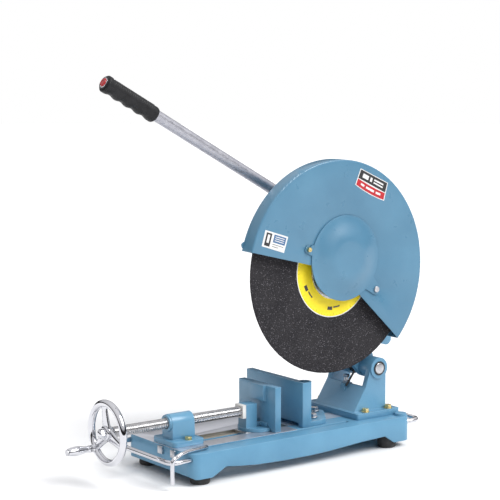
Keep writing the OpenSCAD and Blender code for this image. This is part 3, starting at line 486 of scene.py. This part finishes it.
def turn(bm, profile, place, segments=64, closed=True):
    """Turns (radius, height) pairs about local Z. Ends at radius 0 close to a point, others get a cap."""
    rows = []
    for radius, height in profile:
        ring = []
        for k in range(segments):
            a = 2 * math.pi * k / segments
            ring.append(place @ Vector((radius * math.cos(a), radius * math.sin(a), height)))
        rows.append(ring)
    made = add_grid(bm, rows)
    for ring, (radius, _) in ((made[0], profile[0]), (made[-1], profile[-1])):
        if closed and radius > 1e-7:
            cap(bm, ring)


def pin(bm, place, radius, low, high, segments=24):
    """A plain round pin along local Z."""
    turn(bm, [(0, low), (radius, low), (radius, high), (0, high)], place, segments)


def toward(at, direction):
    """A frame at a point with its Z along a direction."""
    return Matrix.Translation(at) @ Vector(direction).to_track_quat("Z", "Y").to_matrix().to_4x4()


def rounded_path(points, radius, steps):
    """A polyline with its corners turned into arcs."""
    points = [Vector(p) for p in points]
    path = [points[0]]
    for a, b, c in zip(points, points[1:], points[2:]):
        before, after = (a - b).normalized(), (c - b).normalized()
        half = before.angle(after) / 2
        reach = min(radius / math.tan(half), (a - b).length * 0.48, (c - b).length * 0.48)
        size = reach * math.tan(half)
        centre = b + (before + after).normalized() * (size / math.sin(half))
        start, end = b + before * reach - centre, b + after * reach - centre
        whole = start.angle(end)
        for i in range(steps + 1):
            from_start = math.sin((1 - i / steps) * whole) / math.sin(whole)
            from_end = math.sin(i / steps * whole) / math.sin(whole)
            path.append(centre + start * from_start + end * from_end)
    path.append(points[-1])
    return path


def sweep(bm, path, radius, sides):
    """A round rod along a path, with slightly rounded ends."""
    path = [Vector(p) for p in path]
    tangents = []
    for i in range(len(path)):
        ahead = path[min(i + 1, len(path) - 1)] - path[max(i - 1, 0)]
        tangents.append(ahead.normalized())
    first, last = tangents[0], tangents[-1]
    ease = min(0.25 * radius, 1 * MM)
    stations = [(path[0], first, radius - ease), (path[0] + first * ease, first, radius)]
    stations += [(p, t, radius) for p, t in zip(path[1:-1], tangents[1:-1])]
    stations += [(path[-1] - last * ease, last, radius), (path[-1], last, radius - ease)]
    side = first.orthogonal().normalized()
    rings = []
    for at, tangent, size in stations:
        side = (side - tangent * side.dot(tangent)).normalized()
        other = tangent.cross(side)
        ring = []
        for k in range(sides):
            a = 2 * math.pi * k / sides
            ring.append(at + size * (math.cos(a) * side + math.sin(a) * other))
        rings.append(ring)
    made = add_grid(bm, rings)
    cap(bm, made[0])
    cap(bm, made[-1])


def hexagon(bm, place, across, height, washer=None):
    """A chamfered hexagon head that stands on local Z = 0, on an optional washer (radius, thickness)."""
    segments, chamfer_slope = 72, 0.58
    base = 0.0
    if washer:
        radius, thick = washer
        ease = thick * 0.25
        turn(bm, [(0, 0), (radius - ease, 0), (radius, ease), (radius, thick - ease),
                  (radius - ease, thick), (0, thick)], place, segments)
        base = thick
    flat = across / 2
    rings = [[], [], [], []]
    for k in range(segments):
        a = 2 * math.pi * k / segments
        wedge = (math.degrees(a) % 60) - 30
        out = flat / math.cos(math.radians(wedge))
        drop = (out - flat) * chamfer_slope
        for ring, r, z in zip(rings, (out, out, flat * 0.92, flat * 0.55),
                              (0, height - drop - 0.02 * height, height, height)):
            ring.append(place @ Vector((r * math.cos(a), r * math.sin(a), base + z)))
    made = add_grid(bm, rings)
    cap(bm, made[0])
    cap(bm, made[-1])


def slab(bm, outline, y0, y1):
    """A flat XZ outline made solid from y0 to y1."""
    near = [bm.verts.new((x, y0, z)) for x, z in outline]
    far = [bm.verts.new((x, y1, z)) for x, z in outline]
    cap(bm, near)
    cap(bm, far)
    for i in range(len(outline)):
        j = (i + 1) % len(outline)
        bm.faces.new((near[i], near[j], far[j], far[i]))


def link_outline(c1, r1, c2, r2, steps=28):
    """The outline around two circles."""
    (x1, z1), (x2, z2) = c1, c2
    base = math.atan2(z2 - z1, x2 - x1)
    spread = math.acos((r1 - r2) / math.hypot(x2 - x1, z2 - z1))
    points = []
    for i in range(steps + 1):
        a = base + spread + (2 * math.pi - 2 * spread) * i / steps
        points.append((x1 + r1 * math.cos(a), z1 + r1 * math.sin(a)))
    for i in range(steps + 1):
        a = base - spread + 2 * spread * i / steps
        points.append((x2 + r2 * math.cos(a), z2 + r2 * math.sin(a)))
    return points


def middle(node):
    low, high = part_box(node)
    return (low + high) / 2


def groups(node):
    """The boxes of a node's separate solids, in order along X and then Y."""
    bm = bmesh.new()
    bm.from_mesh(frame["nodes"][node].data)
    bmesh.ops.remove_doubles(bm, verts=bm.verts, dist=1e-6)
    left = set(bm.verts)
    found = []
    while left:
        todo = [left.pop()]
        low = Vector(todo[0].co)
        high = Vector(todo[0].co)
        while todo:
            vert = todo.pop()
            low = Vector(map(min, low, vert.co))
            high = Vector(map(max, high, vert.co))
            for edge in vert.link_edges:
                other = edge.other_vert(vert)
                if other in left:
                    left.remove(other)
                    todo.append(other)
        found.append((low, high))
    bm.free()
    return sorted(found, key=lambda b: (round(b[0].x, 4), round(b[0].y, 4)))


# ---- Castings and sheet metal: the CAD shapes with their edges rounded ----

# Width of each node's rounded edges, in mm
SOFT_EDGES = {
    "base_casting": 1.6, "nut_block": 1.4, "pivot_bracket": 1.5, "fixed_jaw": 1.2,
    "moving_jaw": 1.2, "jaw_carriage": 1.0, "arm_casting": 1.6, "gear_case_cover": 1.4,
    "wheel_guard": 0.35, "guard_back_plate": 0.3, "motor_housing": 0.8, "motor_end_cap": 0.8,
    "front_wall_bolts": 0.8, "screw_collar": 0.8, "inner_flange": 0.6, "outer_flange": 0.6,
    "brush_holders": 0.6, "cable_gland": 0.5, "gear_case_screws": 0.5, "motor_screws": 0.5,
    "guard_screws": 0.4, "pin_rings": 0.3, "pivot_pin": 0.8, "guide_block": 0.4,
}


def rounded(node, width):
    """A copy of a CAD node with its flat faces joined and its sharp edges bevelled."""
    flat, sharp_from = math.radians(0.6), math.radians(34)
    bm = bmesh.new()
    bm.from_mesh(frame["nodes"][node].data)
    bmesh.ops.remove_doubles(bm, verts=bm.verts, dist=2e-6)
    bmesh.ops.dissolve_limit(
        bm, angle_limit=flat, verts=bm.verts, edges=bm.edges, use_dissolve_boundaries=False
    )
    bmesh.ops.dissolve_degenerate(bm, edges=bm.edges, dist=2e-5)
    sharp = [e for e in bm.edges if len(e.link_faces) == 2 and e.calc_face_angle(0) > sharp_from]
    bmesh.ops.bevel(
        bm, geom=sharp, offset=width, offset_type="OFFSET", segments=2, profile=0.5,
        affect="EDGES", clamp_overlap=True,
    )
    bmesh.ops.triangulate(bm, faces=[f for f in bm.faces if len(f.verts) > 4])
    return bm


def castings():
    for node, width in SOFT_EDGES.items():
        material = BED if node == "base_casting" else SHEET if node in SHEET_NODES else None
        instead(node, node + "_rounded", rounded(node, width * MM), material, sharp=40)


# ---- Turned, bent and threaded pieces ----

VISE = JOINTS["screw_turn"]["pos_m"]
WHEEL_AXIS = JOINTS["wheel_spin"]["pos_m"]
PIVOT = JOINTS["arm_swing"]["pos_m"]
CRANK = JOINTS["crank_spin"]["pos_m"]


def vise_screw():
    """The screw between its end at the handwheel and its journal in the carriage."""
    low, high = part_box("vise_screw")
    thread_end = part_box("screw_collar")[1].x - 0.1 * MM
    thread_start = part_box("handwheel")[1].x + 2 * MM
    outer, depth, lead = 10 * MM, 0.9 * MM, 4 * MM
    across, along = 48, 0.5 * MM
    bm = bmesh.new()
    rows = []
    count = int((thread_end - thread_start) / along)
    for i in range(count + 1):
        x = thread_start + (thread_end - thread_start) * i / count
        fade = min(1, (x - thread_start) / lead, (thread_end - x) / lead)
        ring = []
        for k in range(across):
            a = 2 * math.pi * k / across
            phase = (x / lead - k / across) % 1
            groove = min(1, max(0, 3.2 * abs(phase - 0.5) * -2 + 2.1))
            r = outer - depth * groove * max(0, fade)
            ring.append((x, VISE[1] + r * math.cos(a), VISE[2] + r * math.sin(a)))
        rows.append(ring)
    made = add_grid(bm, rows)
    cap(bm, made[0])
    cap(bm, made[-1])
    reduced = thread_start - low.x + 1 * MM
    turn(bm, [(0, 0), (5.5 * MM, 0), (6 * MM, 0.5 * MM), (6 * MM, reduced), (0, reduced)],
         toward((low.x, VISE[1], VISE[2]), (1, 0, 0)), 40)
    journal = high.x - thread_end
    shoulder = journal - 4 * MM
    turn(bm, [(0, 0), (7 * MM, 0), (7 * MM, shoulder), (9.5 * MM, shoulder), (9.5 * MM, journal),
              (0, journal)],
         toward((thread_end, VISE[1], VISE[2]), (1, 0, 0)), 40)
    instead("vise_screw", "vise_screw_threaded", bm, THREAD)


def oval(centre, u, wide, v, thick, count):
    """The points of an ellipse about a centre, wide along u and thick along v."""
    angles = [2 * math.pi * k / count for k in range(count)]
    return [centre + u * (wide * math.cos(a)) + v * (thick * math.sin(a)) for a in angles]


def handwheel():
    """A round rim, a hub, three broad spokes and the boss of the crank pin."""
    low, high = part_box("handwheel")
    centre = Vector((high.x - 8 * MM, VISE[1], VISE[2]))
    along = Vector((1, 0, 0))
    rim = 7 * MM
    rim_r = (high.z - low.z) / 2 - rim
    bm = bmesh.new()
    rows = []
    for i in range(120):
        a = 2 * math.pi * i / 120
        out = Vector((0, math.cos(a), math.sin(a)))
        rows.append(oval(centre + out * rim_r, out, rim * 0.98, along, rim, 24))
    add_grid(bm, rows, close_rows=True)
    hub = [(6 * MM, -8 * MM), (12.5 * MM, -8 * MM), (14 * MM, -6.5 * MM), (14 * MM, 5 * MM),
           (12 * MM, 8 * MM), (6 * MM, 8 * MM)]
    turn(bm, hub, toward(centre, along), 48)
    to_crank = Vector((0, CRANK[1] - VISE[1], CRANK[2] - VISE[2])).normalized()
    inner = 8 * MM
    for i in range(3):
        spoke = Matrix.Rotation(2 * math.pi * i / 3, 3, "X") @ to_crank
        across = spoke.cross(along)
        rows = []
        for j in range(13):
            t = j / 12
            waist = 5 * math.sin(math.pi * min(1, t * 1.1) / 2)
            flare = 12 * max(0, t - 0.8)
            wide = (13.5 - waist + flare) * MM
            thick = (4.2 - 1.0 * t) * MM
            at = centre + spoke * (inner + (rim_r - inner) * t)
            rows.append(oval(at, across, wide, along, thick, 20))
        add_grid(bm, rows)
    turn(bm, [(0, -9 * MM), (6 * MM, -9 * MM), (7 * MM, -8 * MM), (7 * MM, 3 * MM), (0, 3 * MM)],
         toward(centre + to_crank * rim_r, along), 32)
    instead("handwheel", "handwheel_polished", bm, sharp=50)


def handwheel_nut():
    """A domed nut on a washer."""
    bm = bmesh.new()
    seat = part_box("handwheel_nut")[1].x
    hexagon(bm, toward((seat, VISE[1], VISE[2]), (-1, 0, 0)), 16.4 * MM, 7 * MM, (11 * MM, 1.6 * MM))
    dome = [(0, 0), (7.6, 0), (7.4, 1.0), (6.4, 2.2), (4.6, 3.0), (2.4, 3.4), (0, 3.5)]
    turn(bm, [(r * MM, h * MM) for r, h in dome],
         toward((seat - 8.4 * MM, VISE[1], VISE[2]), (-1, 0, 0)), 40)
    instead("handwheel_nut", "handwheel_acorn_nut", bm)


def crank_handle():
    low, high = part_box("crank_handle")
    length = high.x - low.x
    inner = 4.1 * MM
    # (share of the length, radius in mm)
    profile = [(0.0, 5.2), (0.02, 6.6), (0.08, 7.2), (0.18, 8.0), (0.30, 8.8), (0.40, 8.9), (0.52, 8.4),
               (0.66, 7.2), (0.80, 6.1), (0.90, 5.9), (0.94, 6.6), (0.97, 6.8), (1.0, 6.2)]
    bm = bmesh.new()
    rows = [(inner, 0)] + [(r * MM, t * length) for t, r in profile] + [(inner, length)]
    turn(bm, rows, toward((low.x, CRANK[1], CRANK[2]), (1, 0, 0)), 56)
    instead("crank_handle", "crank_handle_turned", bm, sharp=50)


BAIL_RADIUS = 5 * MM


def bail(node, inner_x, outer_x):
    """A rail bent from rod: two legs and a crossbar."""
    low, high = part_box(node)
    y, z = high.y - BAIL_RADIUS, (low.z + high.z) / 2
    corners = [(inner_x, -y, z), (outer_x, -y, z), (outer_x, y, z), (inner_x, y, z)]
    bm = bmesh.new()
    sweep(bm, rounded_path(corners, 16 * MM, 12), BAIL_RADIUS, 28)
    instead(node, node + "_bent", bm, sharp=60)


def bails():
    low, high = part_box("front_bail")
    bail("front_bail", high.x, low.x + BAIL_RADIUS)
    low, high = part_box("rear_bail")
    bail("rear_bail", low.x, high.x - BAIL_RADIUS)


def wheel_wrench():
    """A bent rod that lies on the bed, hangs over the front rail and ends pointing down."""
    # X, Y and the height over the bed, in mm
    bends = [
        (-205, -92, 5.2), (-252, -96, 4.6), (-268, -98.8, 2.6), (-279, -101.2, -0.8),
        (-287, -103.2, -2.6), (-290.6, -104, -6.5), (-291.4, -104.3, -13),
    ]
    path = [Vector((x * MM, y * MM, BED_TOP + z * MM)) for x, y, z in bends]
    path.append(Vector((path[-1].x, path[-1].y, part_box("wheel_wrench")[0].z)))
    bm = bmesh.new()
    sweep(bm, rounded_path(path, 6 * MM, 6), 4 * MM, 24)
    instead("wheel_wrench", "wheel_wrench_bent", bm, sharp=60)


def return_spring():
    """Torsion spring: the coil about the pivot, one leg down over the web and one up into the arm."""
    coil_r, wire, turns, half, steps = 17.5 * MM, 2.2 * MM, 4.25, 10 * MM, 150

    def at(t):
        a = math.radians(205 - 360 * turns * t)
        y = -half + 2 * half * t
        return Vector((PIVOT[0] + coil_r * math.cos(a), y, PIVOT[2] + coil_r * math.sin(a)))

    path = [at(0) + 42 * MM * Vector((-0.62, 0, -0.78))]
    path += [at(i / steps) for i in range(steps + 1)]
    path += [at(1) + 8 * MM * Vector((-0.3, 0, 0.95))]
    bm = bmesh.new()
    sweep(bm, path, wire, 14)
    instead("return_spring", "return_spring_wound", bm, sharp=60)


def feet():
    """Rubber feet with a moulded edge and a recess, where each screw's head sits."""
    pads = bmesh.new()
    screws = bmesh.new()
    for low, high in groups("rubber_feet"):
        x, y = (low.x + high.x) / 2, (low.y + high.y) / 2
        if high.x - low.x < 20 * MM:
            hexagon(screws, toward((x, y, low.z + 2.5 * MM), (0, 0, -1)), 10 * MM, 2 * MM)
            pin(screws, Matrix.Translation((x, y, low.z + 2 * MM)), 3.1 * MM, 0, high.z - low.z - 2 * MM)
            continue
        r, top, inner, ease = (high.x - low.x) / 2, high.z, 7 * MM, 3.4 * MM
        profile = [(inner, 5.5 * MM), (inner, 0.8 * MM), (inner + 0.8 * MM, 0), (r - 4.5 * MM, 0)]
        for i in range(7):
            a = math.radians(-90 + 90 * i / 6)
            profile.append((r - 4 * MM + ease * math.cos(a), ease + ease * math.sin(a)))
        profile += [(r - 0.5 * MM, top * 0.6), (r - 0.1 * MM, top - 3 * MM), (r - 0.1 * MM, top - 1 * MM),
                    (r - 1.1 * MM, top), (inner, top)]
        turn(pads, profile, Matrix.Translation((x, y, 0)), 64)
    instead("rubber_feet", "rubber_feet_moulded", pads, sharp=45)
    make("feet_screws", screws, "base", MATERIALS["bare_steel"])


def upright_bolt(bm, low, high, across, height, washer):
    """A bolt that stands in its CAD box, head up. across and height are the head's."""
    x, y = (low.x + high.x) / 2, (low.y + high.y) / 2
    seat = high.z - height - (washer[1] if washer else 0)
    hexagon(bm, Matrix.Translation((x, y, seat)), across, height, washer)
    pin(bm, Matrix.Translation((x, y, seat)), 4 * MM, low.z - seat, 0.2 * MM)


def bolts():
    """Chamfered hexagon heads and washers, where the CAD has plain ones."""
    # Head across its flats, head height, and the washer's radius and thickness
    heads = {
        "nut_block_bolts": (12.12 * MM, 6 * MM, None),
        "bracket_bolts": (12.12 * MM, 6 * MM, (8.5 * MM, 1.6 * MM)),
        "fixed_jaw_bolts": (14.7 * MM, 6.4 * MM, (10 * MM, 2 * MM)),
        "stop_bolt": (11.2 * MM, 6 * MM, None),
    }
    for node, (across, height, washer) in heads.items():
        bm = bmesh.new()
        for low, high in groups(node):
            upright_bolt(bm, low, high, across, height, washer)
        instead(node, node + "_forged", bm)
    low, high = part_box("stop_nut")
    place = middle("stop_bolt")
    place.z = low.z
    bm = bmesh.new()
    hexagon(bm, Matrix.Translation(place), 12.1 * MM, high.z - low.z)
    instead("stop_nut", "stop_nut_forged", bm)
    low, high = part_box("flange_bolt")
    at = Vector((WHEEL_AXIS[0], low.y + 7 * MM, WHEEL_AXIS[2]))
    bm = bmesh.new()
    hexagon(bm, toward(at, (0, -1, 0)), 15.9 * MM, 5.5 * MM, (11 * MM, 1.5 * MM))
    pin(bm, toward(at, (0, 1, 0)), 5 * MM, 0, high.y - at.y, 32)
    instead("flange_bolt", "flange_bolt_forged", bm)


# ---- Handle ----

OUT = -Vector(JOINTS["button_press"]["axis"]).normalized()
HANDLE_LENGTH = 597 * MM
HANDLE_END = Vector((160, 0, 448)) * MM + OUT * HANDLE_LENGTH
GRIP_LENGTH = 122 * MM


def handle_place(distance=0):
    """A frame on the handle's axis, its Z outwards and its X upwards, measured out from the end."""
    up = Vector((OUT.z, 0, -OUT.x))
    if up.z < 0:
        up = -up
    turned = Matrix((up, OUT.cross(up), OUT)).transposed().to_4x4()
    return Matrix.Translation(HANDLE_END + OUT * distance) @ turned


def turned_on_handle(profile, segments):
    """A new mesh turned about the handle's axis, from radii and heights in mm over its end."""
    bm = bmesh.new()
    turn(bm, [(r * MM, z * MM) for r, z in profile], handle_place(), segments)
    return bm


def handle_tube():
    bm = bmesh.new()
    low, high = -HANDLE_LENGTH - 7 * MM, -GRIP_LENGTH + 30 * MM
    turn(bm, [(9 * MM, low), (11 * MM, low), (11 * MM, high), (9 * MM, high)], handle_place(), 72)
    instead("handle_tube", "handle_tube_drawn", bm, TUBE, sharp=45)


def handle_grip():
    """A moulded grip: finger waves below, fine ribs above and a collar at its end."""
    length, across, stations = GRIP_LENGTH, 72, 150
    bore, body, collar_high = 11.2 * MM, 14.5 * MM, 1.6 * MM
    place = handle_place(-length)
    bm = bmesh.new()
    rows = []
    for i in range(stations + 1):
        z = length * i / stations
        ends = min(1, z / (5 * MM), (length - z) / (2.5 * MM))
        ease = 1 - (1 - ends) ** 2
        waved = 10 * MM < z < 114 * MM
        finger = 0.5 - 0.5 * math.cos(2 * math.pi * (z - 10 * MM) / (26 * MM)) if waved else 0
        ribbed = 12 * MM < z < length - 14 * MM
        rib = max(0, math.sin(2 * math.pi * z / (4.2 * MM))) if ribbed else 0
        at_collar = z > length - 9 * MM
        swell = (2.6 * MM * (1 - finger) - 0.4 * MM) * (0.3 if at_collar else 1)
        ring = []
        for k in range(across):
            a = 2 * math.pi * k / across
            under = max(0, -math.cos(a)) ** 1.5
            above = max(0, math.cos(a) - 0.35) / 0.65
            r = body + (collar_high if at_collar else 0) + under * swell
            r += min(1, above * 3) * 0.9 * MM * rib
            r = bore + (r - bore) * (0.55 + 0.45 * ease)
            ring.append(place @ Vector((r * math.cos(a), r * math.sin(a), z)))
        rows.append(ring)
    made = add_grid(bm, rows)
    cap(bm, made[0])
    cap(bm, made[-1])
    instead("handle_grip", "handle_grip_moulded", bm, sharp=50)


def switch():
    """The bezel, a bright ring in it and the push button."""
    bezel = [(0, -6), (8.6, -6), (8.6, 1.4), (9.2, 2), (12.2, 2), (13, 1.2), (13, 0), (0, 0)]
    instead("switch_box", "switch_bezel", turned_on_handle(bezel, 64), sharp=40)
    ring = [(8.5, 0.6), (8.7, 2.3), (9.3, 2.7), (9.9, 2.3), (10.1, 1.8)]
    make("switch_ring", turned_on_handle(ring, 64), "arm", MATERIALS["chrome"])
    button = [(0, -10), (3, -10), (3, -7), (8, -7), (8, 3.6), (7.6, 4.4), (6.6, 4.9), (4.5, 5.0),
              (3.0, 4.7), (0, 4.5)]
    instead("push_button", "push_button_moulded", turned_on_handle(button, 56), sharp=40)


def handle_screws():
    """Two cross screws, each with a hexagon head on both sides of the arm's socket."""
    bm = bmesh.new()
    for s in (-20, 20):
        at = middle("handle_screws") + OUT * s * MM
        for side in (-1, 1):
            hexagon(bm, toward(at + Vector((0, side * 18 * MM, 0)), (0, side, 0)), 9.5 * MM, 5 * MM)
        pin(bm, toward(at, (0, 1, 0)), 3 * MM, -19 * MM, 19 * MM)
    instead("handle_screws", "handle_screws_forged", bm)


# ---- Wheel ----

LABEL_RADIUS = 92 * MM


def cutting_wheel():
    """The abrasive disc, its faces a little uneven and its rim ragged."""
    low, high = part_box("cutting_wheel")
    cx, cz = WHEEL_AXIS[0], WHEEL_AXIS[2]
    outer, bore, uneven = (high.x - low.x) / 2, 12.75 * MM, 0.12 * MM
    rings, across = 40, 360
    centre_y = (low.y + high.y) / 2

    def ring(radius, y, ragged):
        points = []
        for k in range(across):
            a = 2 * math.pi * k / across
            x, z = math.cos(a), math.sin(a)
            n = noise.noise(Vector((radius * x * 300, y * 900, radius * z * 300)))
            r = radius - (abs(n) * 0.5 * MM if ragged else 0)
            sink = uneven + n * uneven if radius > LABEL_RADIUS else 0
            points.append((cx + r * x, y + (sink if y < centre_y else -sink), cz + r * z))
        return points

    radii = [bore + (outer - 0.6 * MM - bore) * i / rings for i in range(rings + 1)]
    rows = [ring(radius, low.y, radius == radii[-1]) for radius in radii]
    rows.append(ring(outer, low.y + 0.5 * MM, True))
    rows.append(ring(outer, high.y - 0.5 * MM, True))
    rows += [ring(radius, high.y, radius == radii[-1]) for radius in reversed(radii)]
    bm = bmesh.new()
    add_grid(bm, rows, close_rows=True)
    instead("cutting_wheel", "abrasive_disc", bm, sharp=55)


def annulus(bm, inner, outer, y, thick, start=0.0, angle=2 * math.pi, steps=160):
    """A flat ring, or a stretch of one, about the wheel's axis. It stands out from y by thick."""
    cx, cz = WHEEL_AXIS[0], WHEEL_AXIS[2]
    whole = angle == 2 * math.pi
    rows = []
    for i in range(steps + (0 if whole else 1)):
        a = start + angle * i / steps
        rows.append([
            (cx + r * math.cos(a), yy, cz + r * math.sin(a))
            for r, yy in ((inner, y), (outer, y), (outer - 0.15 * MM, y - thick), (inner, y - thick))
        ])
    made = add_grid(bm, rows, close_rows=whole)
    if not whole:
        cap(bm, made[0])
        cap(bm, made[-1])


def wheel_label():
    """The paper blotter: a yellow ring with a pale rim, a dark scale of ticks and a few plain bars."""
    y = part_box("cutting_wheel")[0].y
    paper, ink = 0.25 * MM, 0.06 * MM
    bm = bmesh.new()
    annulus(bm, 13 * MM, LABEL_RADIUS - 1.8 * MM, y, paper)
    make("wheel_label", bm, "wheel", YELLOW)
    bm = bmesh.new()
    annulus(bm, LABEL_RADIUS - 1.7 * MM, LABEL_RADIUS, y, paper)
    make("wheel_label_rim", bm, "wheel", INK_WHITE)
    bm = bmesh.new()
    face = y - 0.24 * MM
    for i in range(72):
        a = 2 * math.pi * i / 72
        inner = (83.5 if i % 6 == 0 else 86.5) * MM
        annulus(bm, inner, 88.5 * MM, face, ink, a - 0.003, 0.006, 1)
    for i in range(6):
        a = 2 * math.pi * i / 6 + 0.32
        annulus(bm, 71 * MM, 78 * MM, face, ink, a, 0.16, 8)
        annulus(bm, 71 * MM, 74 * MM, face, ink, a + 0.20, 0.22, 8)
    make("wheel_label_scale", bm, "wheel", INK_BLACK)


# ---- Guard details ----

COVER_CENTRE = (15 * MM, 25 * MM)
CATCH_FROM_HUB = (-77 * MM, 48.4 * MM)
CATCH_SLOT = math.radians(61.8)


def slotted(outline, centre, radius, half):
    """A tab's outline with an open slot, twice half wide, from its hole out through its edge."""
    joint = len(outline) // 2
    normal = (Vector(outline[joint]) - Vector(centre)).normalized()
    way = Vector((math.cos(CATCH_SLOT), math.sin(CATCH_SLOT)))
    notch = []
    for i in range(17):
        a = CATCH_SLOT - math.pi / 2 - math.pi * i / 16
        notch.append(Vector((half * math.cos(a), half * math.sin(a))))
    right, left = notch[0], notch[-1]
    right_end = right + way * ((radius - right.dot(normal)) / way.dot(normal))
    left_end = left + way * ((radius - 0.2 * MM - left.dot(normal)) / way.dot(normal))
    points = [right_end] + notch + [left_end]
    return outline[:joint] + [tuple(Vector(centre) + p) for p in points] + outline[joint + 2:]


def hub_cover():
    """The pressed dome over the flange bolt, with a tab at its pivot and one at its catch."""
    low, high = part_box("hub_cover")
    back, rise, radius, sheet, lip = high.y, high.y - low.y, 84 * MM, 1.3 * MM, 2.2 * MM
    cx, cz = WHEEL_AXIS[0] + COVER_CENTRE[0], WHEEL_AXIS[2] + COVER_CENTRE[1]
    steps = 26

    def height(t):
        s = min(1, t / 0.62)
        return lip + (rise - lip) * (s * s * (3 - 2 * s))

    outer = [(radius, 0), (radius, 1.6 * MM)]
    outer += [((radius - 0.5 * MM) * (1 - i / steps), height(i / steps)) for i in range(steps + 1)]
    inner = [(r - (sheet if i < 3 else 0), max(0, h - sheet)) for i, (r, h) in enumerate(outer)]
    bm = bmesh.new()
    place = toward((cx, back, cz), (0, -1, 0))
    turn(bm, outer, place, 160, closed=False)
    turn(bm, inner[::-1], place, 160, closed=False)
    pivot = JOINTS["cover_swing"]["pos_m"]
    catch = (WHEEL_AXIS[0] + CATCH_FROM_HUB[0], WHEEL_AXIS[2] + CATCH_FROM_HUB[1])
    for centre, wide, narrow in (((pivot[0], pivot[2]), 20 * MM, 11 * MM), (catch, 16 * MM, 8 * MM)):
        toward_tab = Vector((centre[0] - cx, centre[1] - cz)).normalized() * (radius - 30 * MM)
        outline = link_outline((cx + toward_tab.x, cz + toward_tab.y), wide, centre, narrow)
        if centre is catch:
            outline = slotted(outline, centre, narrow, 3.4 * MM)
        slab(bm, outline, back - 1.8 * MM, back - 0.1 * MM)
    instead("hub_cover", "hub_cover_pressed", bm, SHEET, sharp=40)


def cover_screw(box, head, shank, deep):
    """A screw with a rounded head, deep of it from seat to top, and a shallow recess."""
    low, high = box
    length = high.y - low.y
    seat = length - deep
    dip = length - 0.7 * MM
    profile = [(0, 0), (shank, 0), (shank, seat), (head - 0.4 * MM, seat), (head, seat + 0.5 * MM),
               (head, length - 0.9 * MM), (head - 0.9 * MM, length), (2.2 * MM, length), (1.8 * MM, dip),
               (0, dip)]
    bm = bmesh.new()
    turn(bm, profile, toward(((low.x + high.x) / 2, high.y, (low.z + high.z) / 2), (0, -1, 0)), 48)
    return bm


def cover_screws():
    boxes = sorted(groups("cover_screws"), key=lambda b: b[0].x)
    instead("cover_screws", "cover_pivot_screw", cover_screw(boxes[-1], 6 * MM, 3 * MM, 3.4 * MM))
    catch = cover_screw(boxes[0], 4.4 * MM, 2.5 * MM, 5.4 * MM)
    make("cover_catch_screw", catch, "arm", MATERIALS["gold_zinc"])


def patch(name, corners, material, thick, part=(0, 1, 0, 1), sag=0.0):
    """A thin printed block on the guard's face.

    corners are in mm from the hub's axis: top left, top right, bottom right, bottom left. part is the
    stretch of them that the block covers, across and then down. sag, in mm, bows it downwards.
    """
    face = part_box("wheel_guard")[0].y + 0.02 * MM
    tl, tr, br, bl = [Vector((WHEEL_AXIS[0] + x * MM, 0, WHEEL_AXIS[2] + z * MM)) for x, z in corners]
    u0, u1, v0, v1 = part
    steps = 10

    def at(u, v):
        top, bottom = tl.lerp(tr, u), bl.lerp(br, u)
        bow = (bottom - top).normalized() * (sag * MM * 4 * u * (1 - u) * v)
        point = top.lerp(bottom, v) + bow
        return point.x, point.z

    outline = [at(u0 + (u1 - u0) * i / steps, v0) for i in range(steps + 1)]
    outline += [at(u1 + (u0 - u1) * i / steps, v1) for i in range(steps + 1)]
    bm = bmesh.new()
    slab(bm, outline, face - thick, face)
    make(name, bm, "arm", material)


BACKING = 0.20 * MM
BLOCK = 0.28 * MM
BAR = 0.34 * MM


def guard_labels():
    """Two plain colour-block stickers with bars where the print would be."""
    main = ((54, 198), (125, 166), (115, 131), (40, 167))
    patch("sticker_base", main, INK_WHITE, BACKING, sag=3)
    patch("sticker_black", main, INK_BLACK, BLOCK, (0.025, 0.975, 0.04, 0.56))
    patch("sticker_red", main, INK_RED, BLOCK, (0.025, 0.975, 0.59, 0.96), sag=3)
    bars = ((0.14, 0.34, 0.18, 0.42), (0.40, 0.47, 0.18, 0.42),
            (0.53, 0.86, 0.18, 0.27), (0.53, 0.86, 0.34, 0.42))
    for i, part in enumerate(bars):
        patch(f"sticker_bar_{i}", main, INK_WHITE, BAR, part)
    for i, (u0, u1) in enumerate(((0.16, 0.28), (0.34, 0.62), (0.68, 0.84))):
        patch(f"sticker_dash_{i}", main, INK_WHITE, BAR, (u0, u1, 0.71, 0.82), sag=3)
    small = ((-179, 93), (-125, 76), (-135, 46), (-188, 63))
    patch("plate_base", small, INK_WHITE, BACKING)
    patch("plate_black", small, INK_BLACK, BLOCK, (0.08, 0.32, 0.10, 0.90))
    patch("plate_stripe", small, INK_WHITE, BAR, (0.15, 0.25, 0.20, 0.70))
    patch("plate_blue", small, INK_BLUE, BLOCK, (0.42, 0.94, 0.10, 0.58))
    for i in range(3):
        v = 0.19 + 0.12 * i
        patch(f"plate_line_{i}", small, INK_WHITE, BAR, (0.48, 0.88, v, v + 0.045))
    for i in range(2):
        v = 0.68 + 0.13 * i
        patch(f"plate_rule_{i}", small, INK_BLACK, BLOCK, (0.42, 0.90 - 0.2 * i, v, v + 0.03))


# ---- Everything ----

bpy.context.scene.view_settings.view_transform = "Standard"
for node, obj in frame["nodes"].items():
    obj.data.materials.clear()
    obj.data.materials.append(MATERIALS[SLOT_OF[node]])

make_camera()
make_world()
sun("key", (0.34, -0.66, 0.75), 35, 2.6)
make_floor()

castings()
vise_screw()
handwheel()
handwheel_nut()
crank_handle()
bails()
wheel_wrench()
return_spring()
feet()
bolts()
handle_tube()
handle_grip()
switch()
handle_screws()
cutting_wheel()
wheel_label()
hub_cover()
cover_screws()
guard_labels()
